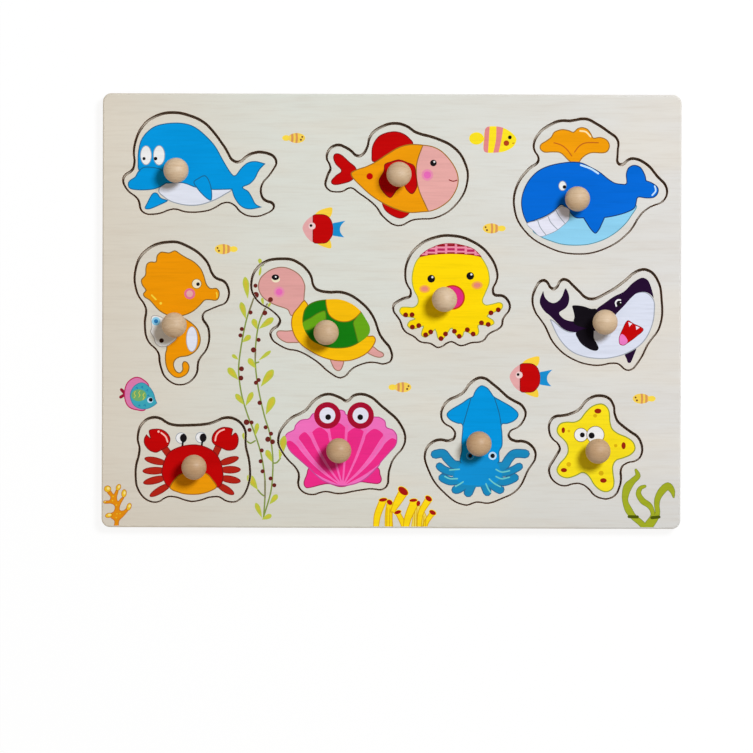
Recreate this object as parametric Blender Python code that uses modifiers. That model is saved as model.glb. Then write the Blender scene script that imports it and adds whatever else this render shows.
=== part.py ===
"""Animal puzzle board: a wooden inset puzzle for small children.

A plywood top plate with eleven cut-outs is glued to a thin backing plate, so that each cut-out
becomes a recess. A plywood sea animal lies in each recess and lifts straight out by its turned
knob, which a countersunk screw holds from the animal's underside.

Units are metres. X runs along the board, Y across it and Z up. The origin is the middle of the
board's underside.
"""

import math

import bmesh
import bpy
from mathutils import Matrix

MM = 0.001

# Board
BOARD_LENGTH = 300 * MM
BOARD_WIDTH = 225 * MM
CORNER_RADIUS = 4.5 * MM
EDGE_ROUNDING = 0.8 * MM
TOP_PLATE_THICKNESS = 5 * MM
BACKING_THICKNESS = 2.7 * MM
END_MARGIN = 7.6 * MM  # the least wood between a cut-out and the board's left or right edge
SIDE_MARGIN = 10.2 * MM  # the same at its front and back edges

# Fits
GLUE_LINE = 0.3 * MM  # between faces that are glued or drawn together
SEAT_GAP = 0.3 * MM  # under an animal that lies in its recess
CUT_WIDTH = 0.8 * MM  # of the saw cut round each animal, half to each side of its line
FRONT_REST = 0.35 * MM  # how far each animal lies from the middle of its opening, towards the front
SCREW_GAP = 0.3 * MM  # round the screw, in the animal and in the knob

# Animals
SANDED_OFF = 0.4 * MM  # how much thinner an animal is than the plate it is cut from

# Knob, from its foot up
FOOT_DIAMETER = 8 * MM
FOOT_THICKNESS = 0.9 * MM
NECK_DIAMETER = 6.2 * MM
NECK_HEIGHT = 1.8 * MM
BALL_DIAMETER = 13 * MM

# Countersunk screw, from its head up
HEAD_DIAMETER = 6 * MM
HEAD_RIM = 0.5 * MM
HEAD_TAPER = 1.3 * MM
SHANK_DIAMETER = 2.8 * MM
SCREW_BITE = 7 * MM  # how far it goes into the knob
POINT_LENGTH = 2 * MM

# Facets
OUTLINE_STEPS = 3  # between two points of an animal's outline
TURNED_STEPS = 16
BALL_STEPS = 7
CORNER_STEPS = 5
EDGE_STEPS = 2

# Each animal has its knob's place on the board, its colour, and the points of its saw cut round
# the knob, clockwise from the top. Both are in millimetres and are fitted to the board's size.
ANIMALS = {
    "dolphin": {
        "place": (-111.7, 72.3),
        "colour": (0.01, 0.30, 0.73),
        "outline": [
            (-1, 30), (6.5, 28.5), (14, 25), (19.5, 19.5), (25, 12), (31, 4.5), (38, 8.5),
            (45, 9.5), (51.5, 5.5), (49, -1), (44, -8), (45, -14.5), (50.5, -18), (47, -22),
            (36, -23), (27, -16.5), (17, -20.5), (5.5, -21.5), (-1.5, -20), (-10, -22.5),
            (-17.5, -21.5), (-20, -15), (-26, -9.5), (-27.5, -4), (-22.5, 1), (-22, 12),
            (-17.5, 23), (-10, 28.5),
        ],
    },
    "fish": {
        "place": (3.6, 70.6),
        "colour": (0.87, 0.35, 0.01),
        "outline": [
            (-2, 26.5), (4, 25), (8.5, 22), (18.5, 19), (28.5, 14), (34, 6.5), (35.5, -3),
            (30, -15), (20, -22), (7.5, -23.5), (-0.5, -26.5), (-8, -22), (-12, -16.5),
            (-21, -9.5), (-25, -7), (-30, -9), (-37.5, -7), (-37, -0.5), (-35.5, 3),
            (-37.5, 9.5), (-33, 15), (-26, 13), (-21, 9.5), (-17.5, 12), (-14.5, 20.5),
            (-8.5, 25),
        ],
    },
    "whale": {
        "place": (95.9, 58.2),
        "colour": (0.01, 0.14, 0.70),
        "outline": [
            (4.5, 41.5), (10, 39), (16, 35), (21, 30.5), (21, 24), (22, 18), (28, 21),
            (35.5, 18.5), (41.5, 12), (46.5, 5.5), (45, -0.5), (38, -4), (33.5, -7.5),
            (27, -17), (15, -25.5), (0, -28.5), (-15, -25), (-27.5, -16), (-32.5, -4.5),
            (-31, 7), (-25, 15.5), (-20, 20), (-22.5, 26.5), (-20.5, 33), (-13, 39),
            (-8.5, 40.5), (-3.5, 40.5),
        ],
    },
    "seahorse": {
        "place": (-112.4, -7.7),
        "colour": (0.80, 0.28, 0.01),
        "outline": [
            (-2, 43), (6, 41), (16, 33.5), (20.5, 25), (26.5, 21.5), (27, 12.5), (20.5, 9),
            (14.5, 5), (17.5, -2), (17, -11.5), (12.5, -18.5), (11, -26), (4, -31), (-4, -28),
            (-7.5, -20.5), (-8.5, -14.5), (-14, -8), (-15.5, 1), (-15, 8.5), (-19.5, 16.5),
            (-20.5, 28), (-15.5, 38),
        ],
    },
    "turtle": {
        "place": (-33.8, -11.3),
        "colour": (0.05, 0.35, 0.02),
        "outline": [
            (-22, 38), (-15.5, 36.5), (-8.5, 30), (-6, 23), (-1, 21), (9, 20.5), (18, 15.5),
            (24, 8.5), (28, -1.5), (34, -11), (32.5, -15.5), (22.5, -15.5), (14, -18.5),
            (8, -23.5), (2, -21), (-4.5, -15.5), (-14, -10), (-22, -8), (-29, -1), (-24, 5.5),
            (-27.5, 10.5), (-36, 16.5), (-39, 25), (-34, 35),
        ],
    },
    "octopus": {
        "place": (27.3, 6.0),
        "colour": (0.97, 0.68, 0.01),
        "outline": [
            (3.5, 33), (14.5, 30), (23.5, 22.5), (27.5, 12), (25.5, 3), (31, 1.5), (34, -4),
            (30.5, -10), (29.5, -14), (23, -18), (20, -21.5), (14, -22.5), (8.5, -24),
            (3.5, -22), (-3, -25), (-7, -23), (-12.5, -22), (-15.5, -19.5), (-20.5, -16.5),
            (-23, -11), (-26.5, -4), (-22, 0), (-17.5, 2), (-20, 9.5), (-19, 20), (-13, 28),
            (-5, 32),
        ],
    },
    "orca": {
        "place": (110.4, -5.5),
        "colour": (0.02, 0.004, 0.025),
        "outline": [
            (22, 27), (27, 22.5), (29.5, 12), (28.5, -2.5), (22.5, -11.5), (18, -20),
            (12.5, -25), (6.5, -21.5), (-4.5, -22.5), (-17, -19), (-26, -11.5), (-31, -2),
            (-37, 8), (-36, 17), (-31.5, 21.5), (-26.5, 17), (-21.5, 22), (-15, 17.5),
            (-8, 12), (1, 15), (10, 21), (17, 26.5),
        ],
    },
    "crab": {
        "place": (-101.9, -81.2),
        "colour": (0.55, 0.005, 0.01),
        "outline": [
            (-20, 25.5), (-12.5, 22), (-3, 21.5), (8, 22.5), (18, 25.5), (25.5, 20.5),
            (26.5, 11), (28.5, 1.5), (28, -9), (22.5, -17.5), (17.5, -18), (12, -15.5),
            (-1, -18), (-13, -15.5), (-20.5, -18.5), (-28, -14), (-30.5, -2), (-28.5, 9),
            (-29.5, 15), (-26.5, 23),
        ],
    },
    "shell": {
        "place": (-27.1, -72.4),
        "colour": (0.80, 0.02, 0.22),
        "outline": [
            (-6, 29), (1, 27), (4, 25.5), (8, 28.5), (14.5, 28.5), (22, 23), (33, 11.5),
            (34, 3.5), (28, -5), (26, -11), (24, -19.5), (16, -20), (9, -21), (0, -22.5),
            (-7, -21.5), (-15, -23), (-20.5, -19.5), (-21, -11.5), (-28, -3), (-31.5, 5),
            (-26, 15.5), (-17.5, 20.5), (-12.5, 26),
        ],
    },
    "squid": {
        "place": (45.4, -68.6),
        "colour": (0.01, 0.30, 0.73),
        "outline": [
            (1.5, 34), (7.5, 30.5), (15, 24), (24, 17), (21.5, 9.5), (15.5, 5), (17, 2),
            (25, 0.5), (29.5, -5.5), (25.5, -14), (20, -24), (11, -29), (5, -31), (-1, -30.5),
            (-7, -32), (-18, -25.5), (-26, -14), (-27.5, -4), (-22, 1.5), (-13.5, 2),
            (-12.5, 6), (-19, 12), (-17.5, 20.5), (-8.5, 26), (-3.5, 32),
        ],
    },
    "starfish": {
        "place": (106.9, -72.2),
        "colour": (0.95, 0.75, 0.01),
        "outline": [
            (1.5, 28.5), (7, 26), (10, 16), (15.5, 11), (22, 5.5), (22, -3.5), (13, -8),
            (12, -17), (8, -24), (0, -24), (-6, -18.5), (-10, -17), (-19, -18), (-25, -11),
            (-21.5, -3), (-19.5, 1.5), (-24.5, 8), (-23.5, 16.5), (-16, 18.5), (-10, 21),
            (-5, 26.5),
        ],
    },
}

# Heights above the board's underside
PLATE_BOTTOM = BACKING_THICKNESS + GLUE_LINE
PIECE_BOTTOM = BACKING_THICKNESS + SEAT_GAP
PIECE_THICKNESS = TOP_PLATE_THICKNESS - SANDED_OFF
KNOB_BOTTOM = PIECE_BOTTOM + PIECE_THICKNESS + GLUE_LINE

# How far a cutter stands out of what it cuts
OVERCUT = 1 * MM

# Points this close are one
WELD_DISTANCE = 0.001 * MM

# Edges sharper than this stay sharp on a turned piece
SHARP_ANGLE = math.radians(40)


def clear_scene():
    for old in list(bpy.data.objects):
        bpy.data.objects.remove(old)


def make_collection(name):
    collection = bpy.data.collections.new(name)
    bpy.context.scene.collection.children.link(collection)
    return collection


def make_material(name, colour, roughness, metallic=0.0):
    material = bpy.data.materials.new(name)
    material.use_nodes = True
    shader = material.node_tree.nodes["Principled BSDF"]
    shader.inputs["Base Color"].default_value = (*colour, 1.0)
    shader.inputs["Roughness"].default_value = roughness
    shader.inputs["Metallic"].default_value = metallic
    material.diffuse_color = (*colour, 1.0)
    return material


def link_object(name, data, collection, material=None):
    obj = bpy.data.objects.new(name, data)
    collection.objects.link(obj)
    if material:
        data.materials.append(material)
    return obj


def hide_cutter(obj):
    obj.hide_render = True
    obj.display_type = "WIRE"


def cut(obj, cutter):
    boolean = obj.modifiers.new("cut by " + cutter.name, "BOOLEAN")
    boolean.operation = "DIFFERENCE"
    boolean.object = cutter


def make_slab(name, bottom, thickness, rounded_side, collection, material):
    """A flat board with round corners, whose edge is eased at the top (+1) or the underside (-1)."""
    mesh = bpy.data.meshes.new(name)
    shape = bmesh.new()
    bmesh.ops.create_cube(shape, size=1.0)
    bmesh.ops.scale(shape, vec=(BOARD_LENGTH, BOARD_WIDTH, thickness), verts=shape.verts)
    upright = [e for e in shape.edges if abs(e.verts[0].co.z - e.verts[1].co.z) > thickness / 2]
    bmesh.ops.bevel(
        shape, geom=upright, offset=CORNER_RADIUS, segments=CORNER_STEPS, profile=0.5,
        affect="EDGES",
    )
    rim = [e for e in shape.edges if all(v.co.z * rounded_side > thickness / 4 for v in e.verts)]
    bmesh.ops.bevel(
        shape, geom=rim, offset=EDGE_ROUNDING, segments=EDGE_STEPS, profile=0.5, affect="EDGES",
    )
    bmesh.ops.translate(shape, vec=(0, 0, bottom + thickness / 2), verts=shape.verts)
    bmesh.ops.recalc_face_normals(shape, faces=shape.faces)
    shape.to_mesh(mesh)
    shape.free()
    return link_object(name, mesh, collection, material)


def drawing_spread():
    """How far the animals' places spread along and across the board, so that its margins are kept."""
    reach_x = reach_y = 0.0
    for animal in ANIMALS.values():
        for x, y in animal["outline"]:
            reach_x = max(reach_x, abs(animal["place"][0] + x) * MM)
            reach_y = max(reach_y, abs(animal["place"][1] + y) * MM)
    along = (BOARD_LENGTH / 2 - END_MARGIN) / reach_x
    across = (BOARD_WIDTH / 2 - SIDE_MARGIN) / reach_y
    return along, across


def place_of(animal, height):
    along, across = drawing_spread()
    x, y = animal["place"]
    return (x * MM * along, y * MM * across, height)


def outline_of(animal):
    """The animal's outline in metres. An animal keeps its proportions, so it follows the lesser spread."""
    scale = min(drawing_spread())
    return [(x * MM * scale, y * MM * scale) for x, y in animal["outline"]]


def make_outline_solid(name, outline, widened, thickness, collection, material=None):
    """A smooth closed outline, widened all round (or narrowed, below 0), made a solid about Z 0."""
    curve = bpy.data.curves.new(name, "CURVE")
    curve.dimensions = "2D"
    curve.fill_mode = "BOTH"
    curve.extrude = thickness / 2
    curve.offset = widened
    curve.resolution_u = OUTLINE_STEPS
    spline = curve.splines.new("BEZIER")
    spline.bezier_points.add(len(outline) - 1)
    spline.use_cyclic_u = True
    for point, (x, y) in zip(spline.bezier_points, outline):
        point.co = (x, y, 0)
        point.handle_left_type = point.handle_right_type = "AUTO"
    drawn = bpy.data.objects.new(name, curve)
    collection.objects.link(drawn)
    evaluated = drawn.evaluated_get(bpy.context.evaluated_depsgraph_get())
    mesh = bpy.data.meshes.new_from_object(evaluated)
    mesh.materials.clear()
    shape = bmesh.new()
    shape.from_mesh(mesh)
    bmesh.ops.remove_doubles(shape, verts=shape.verts, dist=WELD_DISTANCE)
    bmesh.ops.recalc_face_normals(shape, faces=shape.faces)
    shape.to_mesh(mesh)
    shape.free()
    placed = drawn.matrix_world.copy()
    bpy.data.objects.remove(drawn)
    solid = link_object(name, mesh, collection, material)
    solid.matrix_world = placed
    return solid


def make_turned(name, profile, collection, material=None):
    """A solid of revolution about Z, from a profile that runs down its outer side."""
    mesh = bpy.data.meshes.new(name)
    edges = [(i, i + 1) for i in range(len(profile) - 1)]
    mesh.from_pydata([(radius, 0, height) for radius, height in profile], edges, [])
    solid = link_object(name, mesh, collection, material)
    screw = solid.modifiers.new("turn", "SCREW")
    screw.steps = screw.render_steps = TURNED_STEPS
    screw.use_merge_vertices = True
    screw.merge_threshold = WELD_DISTANCE
    return solid


def knob_profile():
    """Ball, neck and foot from the top down, then up the blind hole for the screw."""
    ball = BALL_DIAMETER / 2
    neck = NECK_DIAMETER / 2
    neck_top = FOOT_THICKNESS + NECK_HEIGHT
    middle = neck_top + math.sqrt(ball**2 - neck**2)
    last_angle = math.pi - math.asin(neck / ball)
    profile = []
    for step in range(BALL_STEPS + 1):
        angle = last_angle * step / BALL_STEPS
        profile.append((ball * math.sin(angle), middle + ball * math.cos(angle)))
    hole = SHANK_DIAMETER / 2 + SCREW_GAP
    hole_top = SCREW_BITE - GLUE_LINE + SCREW_GAP
    return profile + [
        (neck, FOOT_THICKNESS + NECK_HEIGHT / 2),
        (FOOT_DIAMETER / 2, FOOT_THICKNESS),
        (FOOT_DIAMETER / 2, 0),
        (hole, 0),
        (hole, hole_top),
        (0, hole_top),
    ]


def screw_length():
    return PIECE_THICKNESS + SCREW_BITE


def screw_profile():
    """Point, shank and countersunk head from the top down. The head's face is at the bottom."""
    return [
        (0, screw_length()),
        (SHANK_DIAMETER / 2, screw_length() - POINT_LENGTH),
        (SHANK_DIAMETER / 2, HEAD_RIM + HEAD_TAPER),
        (HEAD_DIAMETER / 2, HEAD_RIM),
        (HEAD_DIAMETER / 2, 0),
        (0, 0),
    ]


def screw_hole_profile():
    """The bore and countersink in an animal, with the screw's own sizes and its gap."""
    bore = SHANK_DIAMETER / 2 + SCREW_GAP
    seat = HEAD_DIAMETER / 2 + SCREW_GAP
    return [
        (0, PIECE_THICKNESS + OVERCUT),
        (bore, PIECE_THICKNESS + OVERCUT),
        (bore, HEAD_RIM + HEAD_TAPER + SCREW_GAP),
        (seat, HEAD_RIM + SCREW_GAP),
        (seat, -OVERCUT),
        (0, -OVERCUT),
    ]


def shade_round(obj):
    obj.data.shade_smooth()
    obj.data.set_sharp_from_angle(angle=SHARP_ANGLE)


def make_board(parts, cutters, wood):
    make_slab("backing_plate", 0, BACKING_THICKNESS, -1, parts, wood)
    plate = make_slab("top_plate", PLATE_BOTTOM, TOP_PLATE_THICKNESS, +1, parts, wood)
    for name, animal in ANIMALS.items():
        opening = make_outline_solid(
            name + "_opening", outline_of(animal), CUT_WIDTH / 2,
            TOP_PLATE_THICKNESS + 2 * OVERCUT, cutters,
        )
        x, y, height = place_of(animal, PLATE_BOTTOM + TOP_PLATE_THICKNESS / 2)
        opening.location = (x, y + FRONT_REST, height)
        hide_cutter(opening)
        cut(plate, opening)


def make_animal(name, animal, parts, cutters, knob_wood, steel):
    """The animal's board with its origin on the lifting axis, and its knob and screw on it."""
    printed = make_material(name + "_print", animal["colour"], 0.5)
    piece = make_outline_solid(
        name + "_piece", outline_of(animal), -CUT_WIDTH / 2, PIECE_THICKNESS, parts, printed,
    )
    piece.data.transform(Matrix.Translation((0, 0, PIECE_THICKNESS / 2)))
    piece.location = place_of(animal, PIECE_BOTTOM)

    hole = make_turned(name + "_screw_hole", screw_hole_profile(), cutters)
    hole.parent = piece
    hide_cutter(hole)
    cut(piece, hole)

    knob = make_turned(name + "_knob", knob_profile(), parts, knob_wood)
    knob.parent = piece
    knob.location = (0, 0, KNOB_BOTTOM - PIECE_BOTTOM)
    shade_round(knob)

    screw = make_turned(name + "_screw", screw_profile(), parts, steel)
    screw.parent = piece
    shade_round(screw)


def build():
    clear_scene()
    parts = make_collection("animal_puzzle_board")
    cutters = make_collection("cutters")
    plywood = make_material("pale_plywood", (0.74, 0.66, 0.54), 0.6)
    knob_wood = make_material("turned_wood", (0.62, 0.46, 0.31), 0.5)
    steel = make_material("screw_steel", (0.60, 0.60, 0.61), 0.35, 1.0)
    make_board(parts, cutters, plywood)
    for name, animal in ANIMALS.items():
        make_animal(name, animal, parts, cutters, knob_wood, steel)


build()
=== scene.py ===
"""Looks of the animal puzzle board: printed plywood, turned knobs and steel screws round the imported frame.

Drawings are in millimetres, an animal's about its knob and the board's about the board's middle, with y away
from the viewer. A drawing is a list of regions, painted in their order.
"""
import math

import bmesh
import bpy
import numpy as np
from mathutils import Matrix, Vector, geometry


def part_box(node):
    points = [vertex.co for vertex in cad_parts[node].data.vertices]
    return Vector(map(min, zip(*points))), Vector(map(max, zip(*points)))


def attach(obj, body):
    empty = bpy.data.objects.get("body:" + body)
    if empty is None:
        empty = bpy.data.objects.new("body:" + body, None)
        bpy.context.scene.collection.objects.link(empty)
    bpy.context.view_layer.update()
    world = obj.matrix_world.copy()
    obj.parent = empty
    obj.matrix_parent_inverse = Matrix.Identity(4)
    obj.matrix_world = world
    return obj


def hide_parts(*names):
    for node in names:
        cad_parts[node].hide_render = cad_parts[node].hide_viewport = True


MM = 0.001
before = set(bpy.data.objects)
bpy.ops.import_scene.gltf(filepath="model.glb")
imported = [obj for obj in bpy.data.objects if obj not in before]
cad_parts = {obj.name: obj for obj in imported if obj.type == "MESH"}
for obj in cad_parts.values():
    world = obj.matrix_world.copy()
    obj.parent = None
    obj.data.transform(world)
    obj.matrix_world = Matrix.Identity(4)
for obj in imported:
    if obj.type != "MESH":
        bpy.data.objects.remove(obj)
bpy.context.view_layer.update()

BOARD_LOW, BOARD_HIGH = [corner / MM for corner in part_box("top_plate")]
BACK_LOW, BACK_HIGH = [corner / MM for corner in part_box("backing_plate")]
CORNER_RADIUS = 4.5
BOARD_ROUNDING = 0.8
RIM_ROUNDING = 0.3
BACK_ROUNDING = 0.12
CHAMFER = 0.12
GLUE_LINE = 0.05
CURVE_STEP = 0.9
FINE_STEP = 0.7
LEAF_STEP = 0.6
LINE = 0.55
MOTIF_MARGIN = 3
MERGE = 1e-4
WELD = 2e-6
SHARP_EDGE = math.radians(38)

INKS = {
    "sky": (0, 149, 221), "sky_line": (22, 105, 150), "sky_deep": (14, 142, 208),
    "belly_white": (222, 226, 238), "grey_line": (150, 158, 168), "white": (236, 236, 236),
    "black": (18, 14, 16), "orange": (236, 154, 6), "orange_line": (158, 108, 30),
    "pink_skin": (228, 168, 163), "red": (191, 2, 3), "red_line": (135, 18, 18),
    "magenta_cheek": (230, 106, 182), "cheek_edge": (229, 140, 172), "royal": (0, 103, 211),
    "royal_line": (20, 58, 112), "belly_line": (84, 140, 158), "pale_blue": (140, 205, 235),
    "tooth": (226, 226, 240), "spout_line": (190, 100, 24), "pale_spout": (250, 228, 170),
    "glint": (192, 224, 248), "squid_ring": (120, 180, 216), "amber": (237, 149, 2),
    "amber_line": (138, 102, 34), "cream": (238, 226, 196), "rose_cheek": (226, 112, 150),
    "lemon_stroke": (246, 214, 60), "fin_white": (234, 234, 232), "fin_line": (165, 158, 152),
    "dot_blue": (40, 120, 180), "dark_brown": (48, 22, 14), "turtle_skin": (222, 160, 156),
    "turtle_line": (158, 118, 98), "shell_green": (18, 120, 14), "shell_lime": (102, 165, 22),
    "lime_line": (84, 112, 20), "gold": (246, 189, 8), "gold_line": (168, 108, 20), "yellow": (252, 216, 4),
    "yellow_line": (168, 172, 56), "cap_pink": (235, 142, 166), "cap_dark": (152, 22, 34),
    "cap_rose": (180, 38, 90), "soft_cheek": (230, 138, 120), "soft_cheek_edge": (242, 172, 70),
    "mouth_rim": (195, 52, 22), "mouth": (224, 46, 130), "sucker": (130, 26, 12), "violet": (33, 8, 44),
    "fin_black": (14, 9, 16), "orca_white": (216, 221, 236), "orca_line": (160, 165, 175),
    "tongue": (230, 120, 190), "crab_leg": (178, 34, 20), "crab_glint": (250, 192, 182),
    "shell_pink": (240, 112, 188), "shell_line": (192, 76, 148), "fan": (236, 44, 135),
    "rib": (246, 104, 182), "wing_line": (168, 48, 98), "crimson": (166, 12, 46), "teal": (25, 135, 186),
    "teal_line": (40, 106, 148), "aqua": (110, 202, 202), "star_line": (150, 156, 48),
    "star": (246, 222, 28), "star_spot": (152, 36, 12), "star_gold": (216, 176, 14),
    "olive_brown": (128, 104, 40), "stem": (132, 150, 70), "stem_brown": (130, 124, 92),
    "sprout": (112, 142, 52), "leaf": (186, 196, 70), "leaf_core": (204, 190, 56), "berry": (106, 36, 30),
    "coral": (226, 140, 16), "coral_line": (190, 110, 22), "bulb": (236, 190, 40),
    "bulb_pale": (248, 226, 140), "sponge": (250, 214, 18), "sponge_pale": (240, 216, 84),
    "sponge_side": (216, 166, 14), "sponge_mouth": (166, 20, 15), "weed": (160, 170, 36),
    "weed_line": (124, 134, 30), "weed_joint": (76, 86, 8), "reef": (244, 208, 84),
    "reef_tail": (247, 216, 74), "reef_stripe": (216, 150, 88), "reef_brown": (120, 70, 40),
    "reef_pink": (224, 134, 134), "reef_cheek": (176, 66, 26), "reef_yellow": (248, 224, 34),
    "mask_pink": (226, 166, 166), "butter": (246, 206, 62), "sea_blue": (22, 140, 205),
    "fish_pink": (216, 122, 170), "fish_crimson": (186, 40, 96), "fish_rim": (52, 120, 160),
    "scale_blue": (34, 122, 168), "eye_pink": (236, 206, 204), "turquoise": (60, 165, 184),
    "fish_green": (112, 172, 108), "zigzag": (222, 206, 70), "wine": (150, 20, 50),
}


def between(a, b, share):
    """The point that lies a share of the way from a to b."""
    return (a[0] + (b[0] - a[0]) * share, a[1] + (b[1] - a[1]) * share)


def smooth(points, closed=True, step=CURVE_STEP):
    """A curve through given points. A point that is given twice is a corner."""
    count = len(points)
    curve = []
    for i in range(count if closed else count - 1):
        p1, p2 = points[i], points[(i + 1) % count]
        span = math.dist(p1, p2)
        if span < 1e-6:
            continue
        p0 = points[i - 1] if closed or i > 0 else p1
        p3 = points[(i + 2) % count] if closed or i + 2 < count else p2
        pieces = max(1, round(span / step))
        for k in range(pieces):
            t = k / pieces
            weights = (
                -0.5 * t + t * t - 0.5 * t ** 3,
                1 - 2.5 * t * t + 1.5 * t ** 3,
                0.5 * t + 2 * t * t - 1.5 * t ** 3,
                -0.5 * t * t + 0.5 * t ** 3,
            )
            curve.append(tuple(
                sum(w * p[axis] for w, p in zip(weights, (p0, p1, p2, p3))) for axis in range(len(p1))
            ))
    if not closed:
        curve.append(tuple(points[-1]))
    return curve


def oval(x, y, rx, ry=None, turn=0.0):
    """A round or oval outline, turned by an angle in degrees."""
    ry = rx if ry is None else ry
    count = max(12, min(48, round(2 * math.pi * max(rx, ry) / 0.5)))
    c, s = math.cos(math.radians(turn)), math.sin(math.radians(turn))
    outline = []
    for k in range(count):
        u = rx * math.cos(2 * math.pi * k / count)
        v = ry * math.sin(2 * math.pi * k / count)
        outline.append((x + u * c - v * s, y + u * s + v * c))
    return outline


def edge_normals(points, closed=True):
    """Each point's outward side on a counter-clockwise outline, as a unit vector times its stretch."""
    count = len(points)
    normals = []
    for i in range(count):
        before = points[i - 1] if closed or i > 0 else points[i]
        after = points[(i + 1) % count] if closed or i + 1 < count else points[i]
        a = Vector((points[i][0] - before[0], points[i][1] - before[1]))
        b = Vector((after[0] - points[i][0], after[1] - points[i][1]))
        a = a.normalized() if a.length > 1e-9 else b.normalized()
        b = b.normalized() if b.length > 1e-9 else a
        along = a + b
        along = along.normalized() if along.length > 1e-6 else a
        stretch = 1.0 / max(0.6, along.dot(a))
        normals.append((along.y * stretch, -along.x * stretch))
    return normals


def turned_left(points):
    """The outline in counter-clockwise order."""
    area = sum(points[i - 1][0] * points[i][1] - points[i][0] * points[i - 1][1] for i in range(len(points)))
    return list(points) if area > 0 else list(points)[::-1]


def offset(points, distance):
    """The outline moved outward by a distance, or inward by a negative one."""
    points = turned_left(points)
    return [(x + nx * distance, y + ny * distance) for (x, y), (nx, ny) in zip(points, edge_normals(points))]


def band(path, halves):
    """The closed outline of a stroke with round ends along an open path."""
    normals = edge_normals(path, closed=False)
    right = [(x + nx * h, y + ny * h) for (x, y), (nx, ny), h in zip(path, normals, halves)]
    left = [(x - nx * h, y - ny * h) for (x, y), (nx, ny), h in zip(path, normals, halves)]

    def cap(place, normal, half, sign):
        """Three points round one end of the stroke."""
        start = math.atan2(normal[1] * sign, normal[0] * sign)
        return [
            (place[0] + half * math.cos(start + a), place[1] + half * math.sin(start + a))
            for a in (math.pi / 4, math.pi / 2, 3 * math.pi / 4)
        ]

    far = cap(path[-1], normals[-1], halves[-1], 1)
    near = cap(path[0], normals[0], halves[0], -1)
    return right + far + left[::-1] + near


def fill(shape, ink, inset=0.0, within=None):
    """A filled shape, drawn inset from its outline, and only where the within shape is."""
    return [{"shape": shape, "ink": ink, "inset": inset, "within": within, "halves": None}]


def dot(ink, x, y, rx, ry=None, turn=0.0):
    """A filled round or oval spot."""
    return fill(oval(x, y, rx, ry, turn), ink)


def lined(shape, ink, line=None, width=LINE, within=None):
    """A filled shape with a drawn line inside its edge, in the line colour named after its ink or another."""
    return fill(shape, line or f"{ink}_line", 0.0, within) + fill(shape, ink, width, within)


def each(draw, rows):
    """The regions that a drawing call gives for one row of values after another."""
    return [region for row in rows for region in draw(row)]


def stroke(points, half, ink, within=None, end_half=None):
    """A drawn line through given points, which may narrow to end_half. A point may give its half width."""
    path = smooth(points, closed=False, step=FINE_STEP)
    if len(path[0]) == 3:
        halves = [max(0.1, p[2] + half) for p in path]
    else:
        end_half = half if end_half is None else end_half
        halves = [half + (end_half - half) * i / max(1, len(path) - 1) for i in range(len(path))]
    return [{"shape": [p[:2] for p in path], "ink": ink, "inset": 0.0, "within": within, "halves": halves}]


def capsule(a, b, half, ink, line):
    """A straight round-ended bar with a drawn edge."""
    return stroke([a, b], half, line) + stroke([a, b], half - LINE * 0.8, ink)


def leaf(base, tip, half):
    """A leaf that widens towards its round tip, with a warmer middle."""
    length = math.dist(base, tip)
    side = ((tip[1] - base[1]) / length * half, -(tip[0] - base[0]) / length * half)

    def beside(along, across):
        """The point at a share of the length, and a share of the half width to the side."""
        x, y = between(base, tip, along)
        return (x + side[0] * across, y + side[1] * across)

    widths = ((0.4, 0.8), (0.75, 1.1), (0.97, 0.6), (1.04, 0), (0.97, -0.6), (0.75, -1.1), (0.4, -0.8))
    outline = smooth([base, base, *[beside(along, across) for along, across in widths]], step=LEAF_STEP)
    return fill(outline, "leaf") + fill(outline, "leaf_core", 0.85)


def cheek(x, y, radius, skin="cheek_edge", middle="magenta_cheek", height=1.0):
    """A blushed cheek, paler round its edge."""
    inner = radius * 0.62
    return fill(oval(x, y, radius, radius * height), skin) + fill(oval(x, y, inner, inner * height), middle)


def eye(x, y, rx, ry, pupil, radius, line="grey_line"):
    """A white eye with a dark pupil at its own place."""
    return lined(oval(x, y, rx, ry), "white", line, 0.35) + dot("black", *pupil, radius)


def moved(regions, x, y):
    """The regions of a drawing, moved."""
    result = []
    for region in regions:
        copy = dict(region)
        copy["shape"] = [(px + x, py + y) for px, py in region["shape"]]
        if region["within"]:
            copy["within"] = [(px + x, py + y) for px, py in region["within"]]
        result.append(copy)
    return result


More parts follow.
